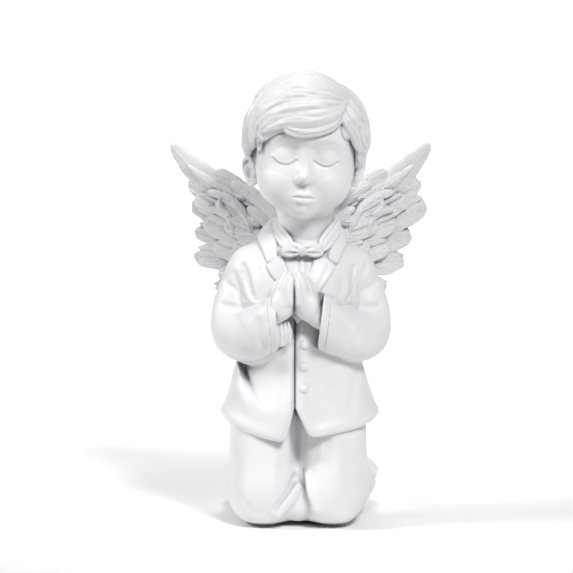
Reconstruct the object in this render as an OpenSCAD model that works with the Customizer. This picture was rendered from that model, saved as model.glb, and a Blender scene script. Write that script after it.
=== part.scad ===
// Kneeling angel figurine, cast in white resin in sections that are pegged and glued together.
// Millimetres. The figure faces -Y and stands on the plane z = 0, with +Z up.
// "Left" and "right" are the figure's own, so its left side is on +X.

/* [Figure] */
// Height from the surface it stands on to the top of the hair
figure_h = 160; // [120:1:240]
// Span from wing tip to wing tip
wing_span = 95; // [86:1:110]
// Half width across the elbows
elbow_half_w = 31.5; // [29:0.5:34]
// Half width of the jacket at its hem
hem_half_w = 28; // [26:0.5:31]
// Half width across both knees
knee_half_w = 27; // [25:0.5:29]

/* [Head] */
// Half width of the cranium under the hair
skull_half_w = 19.2; // [17:0.1:21]
// Breadth of the head over its height from chin to crown, about 0.79 in a small child
head_breadth = 0.79; // [0.74:0.01:0.84]
// Thickness of the hair over the cranium
hair_t = 2.6; // [1.5:0.1:3.5]
// Sideways lean of the head towards the figure's left, in degrees
head_lean = 3.5; // [0:0.5:8]

/* [Joints between castings] */
// Radius of the two cast pegs on each wing
wing_peg_r = 2.2; // [1.5:0.1:3]
// Radius of the spigot under the neck
neck_spigot_r = 5; // [4:0.1:6.5]
// Radius of the spigot on top of the trousers
waist_spigot_r = 9; // [6:0.5:12]
// Radial clearance left for glue round each peg
glue_gap = 0.15; // [0.05:0.05:0.3]

/* [Small parts] */
// Diameter of a jacket button
button_d = 3.2; // [2.4:0.1:4]
// Diameter of a felt pad
pad_d = 9; // [6:0.5:12]
// Thickness of a felt pad
pad_t = 1; // [0.6:0.1:1.5]

/* [Hidden] */

resin = [0.94, 0.94, 0.95];
felt = [0.86, 0.86, 0.84];

k = figure_h / 160;          // scale of everything that follows the height
sides = 40;                  // points round a section
ball_fn = 20;                // facets round a ball in a hulled chain

// ---- curves and skins -------------------------------------------------------------------------

function mix(a, b, t) = a * (1 - t) + b * t;

// Smooth curve through the points p, with t from 0 to 1
function curve(p, t) =
    let (n = len(p) - 1, s = min(n - 0.000001, max(0, t * n)), i = floor(s), f = s - i,
         a = p[max(i - 1, 0)], b = p[i], c = p[i + 1], d = p[min(i + 2, n)])
    0.5 * (2 * b + (c - a) * f + (2 * a - 5 * b + 4 * c - d) * f * f
           + (3 * b - a - 3 * c + d) * f * f * f);

// Superellipse term: 2 is round, more is squarer
function squared(v, e) = sign(v) * pow(abs(v), 2 / e);

// Point of a section at angle a: half width w, from front y to back y, squareness e
function section(a, w, front, back, e = 2.3) =
    [w * squared(cos(a), e), (front + back) / 2 + (back - front) / 2 * squared(sin(a), e)];

// Closed solid through rings of points, each ring running anticlockwise seen from its far end
module skin(rings) {
    n = len(rings[0]);
    m = len(rings);
    polyhedron(
        points = [for (r = rings) each r],
        faces = [
            [for (i = [0 : n - 1]) i],
            for (j = [0 : m - 2], i = [0 : n - 1]) each [
                [j * n + i, (j + 1) * n + i, (j + 1) * n + (i + 1) % n],
                [j * n + i, (j + 1) * n + (i + 1) % n, j * n + (i + 1) % n]],
            [for (i = [n - 1 : -1 : 0]) (m - 1) * n + i]
        ]);
}

module ball(p, r) translate(p) sphere(r, $fn = ball_fn);

// Limb: balls along a smooth curve, hulled pair by pair. Each point is [x, y, z, radius]
module limb(p, steps = 8) {
    q = [for (i = [0 : steps]) curve(p, i / steps)];
    for (i = [0 : steps - 1]) hull() {
        ball([q[i].x, q[i].y, q[i].z], q[i][3]);
        ball([q[i + 1].x, q[i + 1].y, q[i + 1].z], q[i + 1][3]);
    }
}

module mirrored(side) scale([side, 1, 1]) children();

// ---- trousers and shoes -----------------------------------------------------------------------

trouser_x = -0.6;            // the legs stand a little to the figure's right
waist_z = 45 * k;            // top of the trousers, inside the jacket
spigot_h = 8 * k;
knee_gap = 5.5;              // depth of the groove between the knees

// z, half width, front y, back y, depth of the groove between the legs
leg_stations = [
    [pad_t,     knee_half_w - 4.2, -31,   19,   knee_gap * 0.8],
    [2.2 * k,   knee_half_w - 1.6, -34,   21.5, knee_gap],
    [5 * k,     knee_half_w - 0.4, -35.6, 23.5, knee_gap],
    [9.5 * k,   knee_half_w,       -36,   23.5, knee_gap],
    [14 * k,    knee_half_w - 0.4, -35,   20.5, knee_gap],
    [18 * k,    knee_half_w - 1.2, -33.2, 15.5, knee_gap],
    [23 * k,    knee_half_w - 1.9, -31.2, 12,   knee_gap * 0.9],
    [30 * k,    knee_half_w - 2.4, -29.2, 11,   knee_gap * 0.7],
    [38 * k,    knee_half_w - 2.8, -27.6, 10.6, knee_gap * 0.4],
    [waist_z,   knee_half_w - 4,   -25.5, 9.5,  0]
];

// Section with a soft groove at front and back where the two legs meet
function leg_section(a, s) =
    let (p = section(a, s[1], s[2], s[3], 2.7),
         groove = s[4] * exp(-pow(p.x / 4.5, 2)) * max(0, -sin(a)))
    [p.x + trouser_x, p.y + groove, s[0]];

module trouser_form()
    skin([for (s = leg_stations) [for (i = [0 : sides - 1]) leg_section(360 * i / sides, s)]]);

module trousers() color(resin) union() {
    trouser_form();
    translate([trouser_x, -8, waist_z - 1])
        cylinder(h = spigot_h + 1, r = waist_spigot_r);
}

module shoe(side) color(resin) intersection() {
    difference() {
        mirrored(side) limb([[16, 14, 13 * k, 7.5], [20.6, 19, 10.5 * k, 8.2], [20.4, 26, 8.5 * k, 7],
                             [17.5, 32.4, 6 * k, 4.6]]);
        trouser_form();
    }
    translate([-100, -100, pad_t]) cube([200, 200, 60]);
}

// ---- jacket -----------------------------------------------------------------------------------

skirt_top_z = waist_z;       // roof of the hollow that the trousers fill

// z, half width, front y, back y
jacket_stations = [
    [44 * k,    hem_half_w - 1.6, -31.4, 13.6],
    [50 * k,    hem_half_w - 3.8, -29.5, 12.2],
    [56 * k,    hem_half_w - 5.2, -28,   11.2],
    [63 * k,    hem_half_w - 5.8, -27,   10.8],
    [71 * k,    hem_half_w - 5.4, -26.2, 11.4],
    [79 * k,    hem_half_w - 5,   -25.4, 12],
    [86 * k,    hem_half_w - 4.8, -24,   11.2],
    [91.5 * k,  hem_half_w - 6.2, -21.6, 9],
    [96 * k,    hem_half_w - 9.6, -19,   6],
    [99.5 * k,  hem_half_w - 14,  -17,   3.4],
    [101 * k,   hem_half_w - 17,  -15.6, 2]
];

// Height of the hem round the figure: lowest at the two front flaps, open in a V between them
function hem_z(a) =
    let (front = max(0, -sin(a)), away = abs(cos(a) + 0.04))
    k * (39 - 7.6 * pow(front, 3) * (1 - exp(-pow(away / 0.11, 2))));

function hem_ring(proud, lift) = [for (i = [0 : sides - 1])
    let (a = 360 * i / sides, p = section(a, hem_half_w + proud, -32.6 - proud, 14.8 + proud))
    [p.x, p.y, hem_z(a) + lift]];

function jacket_ring(s, proud = 0) = [for (i = [0 : sides - 1])
    let (a = 360 * i / sides, p = section(a, s[1] + proud, s[2] - proud, s[3] + proud))
    [p.x, p.y, s[0]]];

module jacket_form(proud = 0) skin(concat(
    [hem_ring(proud - 0.6, 0), hem_ring(proud, 1.2)],
    [for (s = jacket_stations) jacket_ring(s, proud)]));

neck_x = 0.4;
neck_y = -7.5;
peg_x = 7.5;                 // the wing pegs' distance from the middle
peg_z = [83 * k, 93 * k];    // the wing pegs' heights
peg_depth = 5;               // how far a peg enters the back
back_y = 8;                  // depth at which a peg leaves the back

module jacket() color(resin) difference() {
    jacket_form();
    skirt_hollow();
    translate([trouser_x, -8, waist_z - 1])
        cylinder(h = spigot_h + 1 + glue_gap, r = waist_spigot_r + glue_gap);
    translate([neck_x, neck_y, 92 * k])
        cylinder(h = 12 * k, r = neck_spigot_r + glue_gap);
    for (side = [-1, 1], z = peg_z) wing_peg(side, z, glue_gap);
}

// The hollow follows the trousers, with room for glue
module skirt_hollow() {
    low = [20 * k, knee_half_w - 0.9, -32, 12.6, 0];
    mid = [30 * k, knee_half_w - 1.6, -29.8, 11.6, 0];
    high = [38 * k, knee_half_w - 2.4, -28.2, 11.2, 0];
    top = [skirt_top_z, knee_half_w - 3.6, -26.1, 10.1, 0];
    skin([for (s = [low, mid, high, top]) [for (i = [0 : sides - 1]) leg_section(360 * i / sides, s)]]);
}

module wing_peg(side, z, room = 0) {
    translate([side * peg_x, back_y - peg_depth - room, z])
        rotate([-90, 0, 0]) cylinder(h = peg_depth + 2 + room, r = wing_peg_r + room);
}

// ---- sleeves, cuffs and hands -----------------------------------------------------------------

palm_x = -2.4;               // plane in which the palms meet
sleeve_path = [
    [17.6,                -5,    88.4 * k, 6.9],
    [22.4,                -5.5,  82 * k,   7.6],
    [elbow_half_w - 8.2,  -7.5,  74 * k,   8.2],
    [elbow_half_w - 8.6,  -12.5, 67 * k,   8.6],
    [18,                  -21.5, 67 * k,   8.8],
    [12.5,                -26.5, 69.5 * k, 8.4]
];
wrist = [
    [11,   -28,   68 * k, 4.4],
    [7.2,  -29.5, 73 * k, 4.8],
    [3.2,  -30.6, 79 * k, 4.2],
    [1.3,  -29.4, 88 * k, 1.8]
];

module sleeve_form(side) mirrored(side) limb(sleeve_path, 9);

// Half of the space, on one side of the plane of the palms
module palm_side(side)
    translate([side > 0 ? palm_x : palm_x - 100, -100, 0]) cube([100, 200, 200]);

module hand_form(side) intersection() {
    translate([palm_x, 0, 0]) mirrored(side) limb(wrist, 8);
    palm_side(side);
}

module sleeve(side) color(resin) difference() {
    sleeve_form(side);
    jacket_form();
    hand_form(side);
    palm_side(-side);
    cuff_form(side);
}

// Rolled edge of the sleeve, round the wrist
module cuff_form(side) intersection() {
    mirrored(side)
        limb([[12.2, -27, 69.6 * k, 9], [11, -27.8, 70.4 * k, 9.2], [9.8, -28.2, 71.4 * k, 8.6]], 4);
    palm_side(side);
}

module cuff(side) color(resin) difference() {
    cuff_form(side);
    jacket_form();
    hand_form(side);
}

module hand(side) color(resin) difference() {
    hand_form(side);
    jacket_form();
}

// ---- shirt, lapels, bow tie and buttons -------------------------------------------------------

// Slab that follows the front of the chest, cut to an outline drawn from the front
module on_chest(proud) intersection() {
    difference() {
        jacket_form(proud);
        jacket_form();
    }
    rotate([90, 0, 0]) linear_extrude(60) children();
}

opening_top = [8, 99 * k];          // top corner of the opening of the jacket, from the neck's middle
opening_tip = [palm_x + 1, 74 * k];  // where the two lapels meet

module shirt_front() color(resin) difference() {
    on_chest(0.9) polygon([[neck_x - opening_top.x, opening_top.y], [neck_x + opening_top.x, opening_top.y],
                           opening_tip]);
    translate([neck_x, neck_y, 92 * k]) cylinder(h = 12 * k, r = neck_spigot_r + 3);
    bow_tie_form();
    for (side = [-1, 1]) hand_form(side);
}

module shirt_collar() color(resin) difference() {
    translate([neck_x, neck_y - 0.5, 98.5 * k]) rotate([14, 0, 0]) cylinder(h = 5.5, r1 = 12, r2 = 10.4);
    translate([neck_x, neck_y - 0.5, 98.5 * k]) rotate([14, 0, 0])
        translate([0, 0, -1]) cylinder(h = 8, r = 9.2);
    jacket_form();
    bow_tie_form();
}

// Lapel with its notch, from the neck down to where the jacket closes
module lapel(side) color(resin) difference() {
    on_chest(1.7) mirrored(side) polygon([
        [side * neck_x + opening_top.x, opening_top.y], [side * neck_x + 12.6, 97.4 * k],
        [13, 90 * k], [10.8, 89.2 * k], [11.8, 87 * k],
        [3 + side * opening_tip.x, 72 * k], [side * opening_tip.x, opening_tip.y]]);
    translate([neck_x, neck_y, 92 * k]) cylinder(h = 12 * k, r = neck_spigot_r + 5.6);
    bow_tie_form();
    hand_form(side);
    cuff_form(side);
    sleeve_form(side);
}

bow_z = 97 * k;
bow_y = -21.5;
module bow_tie_form() {
    for (side = [-1, 1]) hull() {
        ball([neck_x + side * 1.2, bow_y, bow_z], 1.4);
        ball([neck_x + side * 6.2, bow_y + 1.2, bow_z + 1.6], 1.3);
        ball([neck_x + side * 6.2, bow_y + 1.2, bow_z - 1.6], 1.3);
    }
    translate([neck_x - 1.7, bow_y - 2.4, bow_z - 2]) cube([3.4, 5, 4]);
}

module bow_tie() color(resin) difference() {
    bow_tie_form();
    jacket_form();
}

// x, y of the jacket's front, z
button_seats = [[1, -27.1, 64.8 * k], [1, -28.1, 56.8 * k], [1.2, -29.7, 49.6 * k]];
module jacket_buttons() color(resin) for (p = button_seats)
    translate(p) rotate([84, 0, 0]) {
        cylinder(h = 0.9, d = button_d);
        translate([0, 0, 0.9]) intersection() {
            translate([0, 0, -button_d * 0.6]) sphere(d = button_d * 1.56, $fn = 48);
            cylinder(h = 3, d = button_d);
        }
    }

// ---- head and hair ----------------------------------------------------------------------------

head_x = 0.3;                // middle of the chin
crown_z = 157 * k;
head_h = 2 * skull_half_w * k / head_breadth;
chin_z = crown_z - head_h;   // the head leans about its chin

// z, half width, front y, back y: the neck, the face by its proportions, then the cranium
head_stations = [
    [99 * k,    8.2,                 -15.6, 0.8],
    [105.5 * k, 8.6,                 -17.5, 1.4],
    [chin_z - 0.01 * head_h, 0.50 * skull_half_w, -25.4, 3],
    [chin_z + 0.04 * head_h, 0.60 * skull_half_w, -27.8, 5],
    [chin_z + 0.12 * head_h, 0.72 * skull_half_w, -29.2, 8],
    [chin_z + 0.22 * head_h, 0.81 * skull_half_w, -29.8, 10],
    [chin_z + 0.36 * head_h, 0.92 * skull_half_w, -29.6, 11.6],
    [133 * k,   skull_half_w - 0.2,  -29.8, 12.2],
    [140 * k,   skull_half_w,        -29.6, 12],
    [146 * k,   skull_half_w - 1.4,  -27.6, 10.6],
    [151 * k,   skull_half_w - 4.4,  -24,   7.4],
    [154.6 * k, skull_half_w - 8.6,  -19.6, 3.2],
    [156.4 * k, skull_half_w - 13.2, -15.4, -1.6],
    [crown_z,   1,                   -10.4, -8]
];

function head_size(column, z) = lookup(z, [for (s = head_stations) [s[0], s[column]]]);

// Point of the head at a height, going round it, with the lean about the chin
function head_point(a, z, grow = 0, lift = 0) =
    let (p = section(a, head_size(1, z) + grow, head_size(2, z) - grow, head_size(3, z) + grow, 2.1),
         lean = z > chin_z ? head_lean : 0, h = z + lift - chin_z)
    [head_x + p.x * cos(lean) + h * sin(lean), p.y, chin_z + h * cos(lean) - p.x * sin(lean)];

module head_form()
    skin([for (s = head_stations) [for (i = [0 : sides - 1]) head_point(360 * i / sides, s[0])]]);

module head() color(resin) union() {
    head_form();
    translate([neck_x, neck_y, 93 * k]) cylinder(h = 10 * k, r = neck_spigot_r);
}

// A rounded disc of an ear, standing out from the side of the head
module ear(side) color(resin) difference() {
    translate([side * 18.35 + 0.9, -4.5, 122.5 * k]) rotate([0, 0, side * 20])
        scale([0.36, 0.56, 0.98 * k]) rotate([0, 90, 0])
            cylinder(h = 11, r1 = side > 0 ? 5.4 : 6.2, r2 = side > 0 ? 6.2 : 5.4, center = true, $fn = 32);
    head_form();
}

// Lowest height that the hair covers, going round the head: a fringe in front, the nape behind
function hairline(a) =
    let (front = max(0, -sin(a)), back = max(0, sin(a)))
    k * (127 + 16 * pow(front, 2) - 12 * pow(back, 0.7));

// Cap between the hairline and the crown, hollow where the head fills it
module hair_form() {
    rows = 8;
    low = 0.01;
    outside = [for (j = [0 : rows]) [for (i = [0 : sides - 1])
        let (a = 360 * i / sides, t = j / rows, z = mix(hairline(a), crown_z - low, pow(t, 0.8)))
        head_point(a, z, hair_t * (0.75 + 0.25 * cos(180 * t * t)), 3 * k * pow(t, 1.5))]];
    skin(outside);
}

module hair() color(resin) difference() {
    hair_form();
    head_form();
    for (side = [-1, 1]) ear(side);
}

// ---- wings ------------------------------------------------------------------------------------

feathers = 7;                // scallops along the trailing edge
feather_depth = 4.6;         // how far a feather's tip stands out of the edge
tip_x = wing_span / 2;

leading_edge = [[3.2, 3.5, 98 * k], [12, 9.5, 108 * k], [22, 17, 115.5 * k], [31, 23.5, 117.5 * k],
                [39, 29.5, 121 * k], [tip_x - 0.2, 35, 129.6 * k]];
trailing_edge = [[3.2, 8.5, 81 * k], [18, 11.5, 81 * k], [28, 16, 83.5 * k], [33.5, 20, 90 * k],
                 [35.5, 24, 100 * k], [tip_x - 2, 34.6, 127.6 * k]];

function scallop(u) =
    feather_depth * pow(abs(sin(180 * feathers * u)), 0.7) * (1 - pow(u, 3)) * min(1, 5 * u);

// Point of the middle surface: u runs from the root to the tip, v from the leading edge back
function wing_mid(u, v) =
    let (a = curve(leading_edge, u), b = curve(trailing_edge, u), out = (b - a) / max(1, norm(b - a)))
    mix(a, b + out * scallop(u), v) + [0, 2.6 * sin(180 * v) * (1 - u), 0];

function wing_half_t(u, v) = mix(2.7, 1.1, v) * (1 - 0.6 * u) * (v > 0.999 || v < 0.001 ? 0.5 : 1);

function wing_ring(u, cols) = concat(
    [for (j = [0 : cols]) wing_mid(u, j / cols) - [0, wing_half_t(u, j / cols), 0]],
    [for (j = [cols : -1 : 0]) wing_mid(u, j / cols) + [0, wing_half_t(u, j / cols), 0]]);

module wing(side) color(resin) union() {
    rows = 28;
    difference() {
        mirrored(side) skin([for (i = [0 : rows]) wing_ring(i / rows, 5)]);
        jacket_form();
    }
    for (z = peg_z) wing_peg(side, z);
}

// ---- felt pads --------------------------------------------------------------------------------

module felt_pads() color(felt)
    for (side = [-1, 1], y = [-22, 9])
        translate([trouser_x + side * 12.5, y, 0]) cylinder(h = pad_t, d = pad_d, $fn = 64);

trousers();
shoe(-1);  // right_shoe
shoe(1);  // left_shoe
jacket();
sleeve(-1);  // right_sleeve
sleeve(1);  // left_sleeve
cuff(-1);  // right_cuff
cuff(1);  // left_cuff
hand(-1);  // right_hand
hand(1);  // left_hand
shirt_front();
shirt_collar();
lapel(-1);  // right_lapel
lapel(1);  // left_lapel
bow_tie();
jacket_buttons();
head();
ear(-1);  // right_ear
ear(1);  // left_ear
hair();
wing(-1);  // right_wing
wing(1);  // left_wing
felt_pads();
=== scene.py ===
"""Kneeling angel figurine in white satin resin: the visual model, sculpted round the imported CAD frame.

Each piece is sculpted as a block of clay: voxels that hold a signed distance in millimetres, negative inside.
"""
import math
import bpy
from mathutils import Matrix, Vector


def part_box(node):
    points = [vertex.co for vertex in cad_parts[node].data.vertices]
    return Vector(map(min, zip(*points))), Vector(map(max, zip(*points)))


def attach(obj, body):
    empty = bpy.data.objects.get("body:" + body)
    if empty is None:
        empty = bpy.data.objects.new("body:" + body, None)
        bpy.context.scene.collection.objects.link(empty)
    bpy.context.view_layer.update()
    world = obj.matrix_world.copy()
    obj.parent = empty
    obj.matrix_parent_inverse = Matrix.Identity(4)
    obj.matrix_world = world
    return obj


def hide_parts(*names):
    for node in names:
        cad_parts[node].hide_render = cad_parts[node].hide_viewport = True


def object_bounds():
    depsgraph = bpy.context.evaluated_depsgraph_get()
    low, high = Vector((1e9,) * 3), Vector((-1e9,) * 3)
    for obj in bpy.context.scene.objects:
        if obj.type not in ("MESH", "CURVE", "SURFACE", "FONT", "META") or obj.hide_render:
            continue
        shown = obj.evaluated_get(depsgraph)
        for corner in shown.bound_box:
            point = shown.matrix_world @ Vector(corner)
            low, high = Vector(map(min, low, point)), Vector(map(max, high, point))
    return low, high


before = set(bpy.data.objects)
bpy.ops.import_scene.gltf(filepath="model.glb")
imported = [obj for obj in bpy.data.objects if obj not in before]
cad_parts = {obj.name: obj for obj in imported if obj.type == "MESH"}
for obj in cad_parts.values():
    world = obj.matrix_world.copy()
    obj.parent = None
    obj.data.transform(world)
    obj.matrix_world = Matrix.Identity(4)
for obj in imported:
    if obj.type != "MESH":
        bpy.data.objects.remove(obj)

from concurrent.futures import ThreadPoolExecutor

import bpy
import numpy as np
import openvdb
from mathutils import Vector

WORKERS = 4                                         # pieces sculpted at the same time

cad_low, cad_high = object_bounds()
FIGURE_H = 160.0                                    # the sculpture is worked in millimetres at this height
MM = (cad_high[2] - cad_low[2]) / FIGURE_H          # one of its millimetres, in metres
COARSE = 1.0
FAR = 3.0                                           # distance that an empty voxel holds
REACH = 1.8                                         # how far round a small part its distance is worked out


def box_mm(node):
    """Lowest and highest corners of a CAD node, in the sculpture's millimetres."""
    low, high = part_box(node)
    return np.array(low) / MM, np.array(high) / MM


# ---- clay ---------------------------------------------------------------------------------------


def smooth_min(a, b, k):
    """The lower of two distances, rounded over k millimetres where they meet."""
    k = np.maximum(k, 1e-4)
    h = np.maximum(k - np.abs(a - b), 0) / k
    return np.minimum(a, b) - h * h * (k * 0.25)


def smooth_max(a, b, k):
    return -smooth_min(-a, -b, k)


def smooth_step(a, b, x):
    t = np.clip((x - a) / (b - a), 0, 1)
    return t * t * (3 - 2 * t)


class Solid:
    """A signed distance that holds inside its own box, and a reach round it."""

    def __init__(self, low, high, field):
        self.low, self.high, self.field = np.asarray(low, float), np.asarray(high, float), field


def part_of(p, low, high):
    """The slices of the open grid p that lie inside a box, and the grid there."""
    cut = []
    for axis, a, b in zip(p, low, high):
        line = axis.ravel()
        cut.append(slice(np.searchsorted(line, a), np.searchsorted(line, b, side="right")))
    x, y, z = p
    return tuple(cut), (x[cut[0], :, :], y[:, cut[1], :], z[:, :, cut[2]])


class Clay:
    """A block of voxels between two corners."""

    def __init__(self, low, high, voxel):
        self.voxel = voxel * COARSE
        first = np.floor(np.array(low, float) / self.voxel)
        count = (np.ceil(np.array(high, float) / self.voxel) - first).astype(int) + 1
        self.low = first * self.voxel
        line = [(np.arange(n) * self.voxel + a).astype(np.float32) for n, a in zip(count, self.low)]
        self.p = (line[0][:, None, None], line[1][None, :, None], line[2][None, None, :])
        self.d = np.full(count, FAR, np.float32)

    def window(self, part, room):
        cut, q = part_of(self.p, part.low - room, part.high + room)
        return (cut, q) if self.d[cut].size else (None, None)

    def add(self, part, k=0.0):
        cut, q = self.window(part, k + REACH)
        if cut:
            self.d[cut] = smooth_min(self.d[cut], part.field(q), k)
        return self

    def cut(self, part, k=0.0):
        cut, q = self.window(part, k + REACH)
        if cut:
            self.d[cut] = smooth_max(self.d[cut], -part.field(q), k)
        return self

    def keep(self, distance, k=0.0):
        """Keeps only what a distance over the whole block, negative inside, holds."""
        self.d = smooth_max(self.d, distance, k).astype(np.float32)
        return self

    def press(self, points, width, depth):
        """Presses a soft groove along a line of points, or raises a ridge where depth is negative."""
        line = tube([(*q[:3], 0.0) for q in points], reach=3 * width)
        cut, q = self.window(line, 3 * width)
        if cut:
            self.d[cut] += depth * np.exp(-(line.field(q) / width) ** 2)
        return self

    def crease(self, rows, steps, share=1.0):
        """Presses smooth lines of points (x, z) into the front surface: rows of (line, width, depth)."""
        for line, width, depth in rows:
            self.press(smooth_path(self.on_front(line), steps), width, depth * share)

    def front_y(self, x, z):
        """Depth of the frontmost surface at x and z."""
        i = int(round((x - self.low[0]) / self.voxel))
        j = int(round((z - self.low[2]) / self.voxel))
        column = self.d[i, :, j]
        inside = np.nonzero(column < 0)[0]
        if not len(inside) or inside[0] == 0:
            return float(self.low[1])
        n = inside[0]
        t = column[n - 1] / (column[n - 1] - column[n])
        return float(self.low[1] + (n - 1 + t) * self.voxel)

    def on_front(self, points, sink=0.0):
        """Points (x, z) or (x, z, radius) laid on the front surface, sunk into it."""
        return [(q[0], self.front_y(q[0], q[1]) + sink, q[1], *q[2:]) for q in points]


def ball(c, r):
    return ellipsoid(c, (r, r, r))


def ellipsoid(c, radii, turn=None):
    """Ellipsoid with its own axes turned by the rotation matrix turn."""
    c, radii = np.array(c, float), np.array(radii, float)

    def field(p):
        d = [axis - m for axis, m in zip(p, c)]
        if turn is not None:
            d = [turn[0][i] * d[0] + turn[1][i] * d[1] + turn[2][i] * d[2] for i in range(3)]
        one = np.sqrt(sum((a / r) ** 2 for a, r in zip(d, radii)))
        two = np.sqrt(sum((a / (r * r)) ** 2 for a, r in zip(d, radii)))
        return one * (one - 1) / np.maximum(two, 1e-6)

    reach = radii if turn is None else np.full(3, radii.max())
    return Solid(c - reach, c + reach, field)


def chain(parts, reach=REACH):
    """The union of many small solids, each worked out only round itself."""

    def field(p):
        d = np.full(np.broadcast_shapes(*(a.shape for a in p)), max(FAR, reach), np.float32)
        for part in parts:
            cut, q = part_of(p, part.low - reach, part.high + reach)
            if d[cut].size:
                d[cut] = np.minimum(d[cut], part.field(q))
        return d

    return Solid(np.min([s.low for s in parts], 0), np.max([s.high for s in parts], 0), field)


def cone(a, b):
    """Round cone between two points (x, y, z, radius)."""
    a, b = np.array(a, float), np.array(b, float)
    along = b[:3] - a[:3]
    length2 = max(float(along @ along), 1e-9)

    def field(p):
        d = [axis - m for axis, m in zip(p, a)]
        t = np.clip((d[0] * along[0] + d[1] * along[1] + d[2] * along[2]) / length2, 0, 1)
        gap = sum((m - t * v) ** 2 for m, v in zip(d, along))
        return np.sqrt(gap) - (a[3] + (b[3] - a[3]) * t)

    low = np.minimum(a[:3] - a[3], b[:3] - b[3])
    return Solid(low, np.maximum(a[:3] + a[3], b[:3] + b[3]), field)


def tube(points, reach=REACH):
    """Round tube through points (x, y, z, radius)."""
    return chain([cone(a, b) for a, b in zip(points[:-1], points[1:])], reach)


def smooth_path(points, steps):
    """Catmull-Rom curve through points of any number of values."""
    q = np.array(points, float)
    q = np.vstack([2 * q[0] - q[1], q, 2 * q[-1] - q[-2]])
    out = []
    for s in np.linspace(0, len(points) - 1, steps + 1):
        i = min(int(s), len(points) - 2)
        f = s - i
        a, b, c, d = q[i : i + 4]
        square, cube = 2 * a - 5 * b + 4 * c - d, 3 * b - a - 3 * c + d
        out.append(0.5 * (2 * b + (c - a) * f + square * f**2 + cube * f**3))
    return np.array(out)


def limb(points, steps=14):
    return tube(smooth_path(points, steps))


def rotation_z(angle):
    c, s = math.cos(angle), math.sin(angle)
    return np.array([[c, -s, 0], [s, c, 0], [0, 0, 1]])


def unit(v):
    v = np.asarray(v, float)
    return v / max(float(np.linalg.norm(v)), 1e-9)


def blade(points, normals, half_w, half_t, relief=None, flat=False, reach=REACH):
    """A flat tapering strip along points: half_w across, half_t through, along the normals.

    relief(across, along) gives the share by which the strip is thicker, across from -1 to 1 and along in mm.
    """
    points, normals = np.array(points, float), np.array(normals, float)
    steps = np.linalg.norm(np.diff(points, axis=0), axis=1)
    start = np.concatenate([[0], np.cumsum(steps)])
    parts = []
    for i in range(len(points) - 1):
        a, b = points[i], points[i + 1]
        along = unit(b - a)
        na, nb = [unit(n - along * (n @ along)) for n in normals[i : i + 2]]
        sides = (np.cross(along, na), np.cross(along, nb))
        parts.append(strip_part(a, b, along, (na, nb), sides, half_w[i : i + 2], half_t[i : i + 2],
                                start[i], relief, flat))
    return chain(parts, reach)


def strip_part(a, b, along, normals, sides, ws, ts, start, relief, flat):
    length = max(float(np.linalg.norm(b - a)), 1e-6)

    def field(p):
        d = [axis - m for axis, m in zip(p, a)]
        run = (d[0] * along[0] + d[1] * along[1] + d[2] * along[2]) / length
        t = np.clip(run, 0, 1)
        w = ws[0] + (ws[1] - ws[0]) * t
        h = ts[0] + (ts[1] - ts[0]) * t
        s = [mix_dot(d, t, sides), mix_dot(d, t, normals)]
        across = s[0] / w
        if relief is not None:
            h = h * (1 + relief(np.clip(across, -1, 1), start + t * length))
        through = s[1] / h
        past = (run - t) * length / w
        edge = across**4 if flat else across**2
        return (np.sqrt(edge + through**2 + past**2) - 1) * np.minimum(w, h)

    reach = np.full(3, max(ws[0], ws[1], ts[0], ts[1]))
    return Solid(np.minimum(a, b) - reach, np.maximum(a, b) + reach, field)


def mix_dot(d, t, ends):
    """Dot product of d with a direction that turns from one end's to the other's."""
    one = d[0] * ends[0][0] + d[1] * ends[0][1] + d[2] * ends[0][2]
    two = d[0] * ends[1][0] + d[1] * ends[1][1] + d[2] * ends[1][2]
    return one + (two - one) * t


def loft(stations, power, centre_x=0.0):
    """Upright form with a superellipse at each height: rows of (z, half width, front y, back y)."""
    fine = smooth_path(stations, 60)
    z0, z1 = fine[0, 0], fine[-1, 0]

    def field(p):
        x, y, z = p
        w, front, back = [np.interp(z, fine[:, 0], fine[:, c]).astype(np.float32) for c in (1, 2, 3)]
        u, v = x - centre_x, y - (front + back) / 2
        q = ((np.abs(u) / w) ** power + (np.abs(v) / ((back - front) / 2)) ** power) ** (1 / power)
        around = np.sqrt(u * u + v * v) * (1 - 1 / np.maximum(q, 0.02))
        return smooth_max(around, np.maximum(z0 - z, z - z1), 2.5)

    w, front, back = fine[:, 1].max(), fine[:, 2].min(), fine[:, 3].max()
    return Solid((centre_x - w, front, z0), (centre_x + w, back, z1), field)


def outline(points, p):
    """Signed distance in the front view (x, z) to a closed outline."""
    x, _, z = p
    best, inside = np.float32(1e9), False
    for (ax, az), (bx, bz) in zip(points, points[1:] + points[:1]):
        ex, ez = bx - ax, bz - az
        t = np.clip(((x - ax) * ex + (z - az) * ez) / max(ex * ex + ez * ez, 1e-9), 0, 1)
        best = np.minimum(best, (x - ax - t * ex) ** 2 + (z - az - t * ez) ** 2)
        crosses = ((az > z) != (bz > z)) & (x < ex * (z - az) / (ez if ez else 1e-9) + ax)
        inside = inside ^ crosses
    return np.sqrt(best) * np.where(inside, -1, 1).astype(np.float32)


# ---- from clay to mesh --------------------------------------------------------------------------

SMALLEST_SHARE = 0.04       # a loose crumb with fewer of the piece's points than this is dropped


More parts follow.
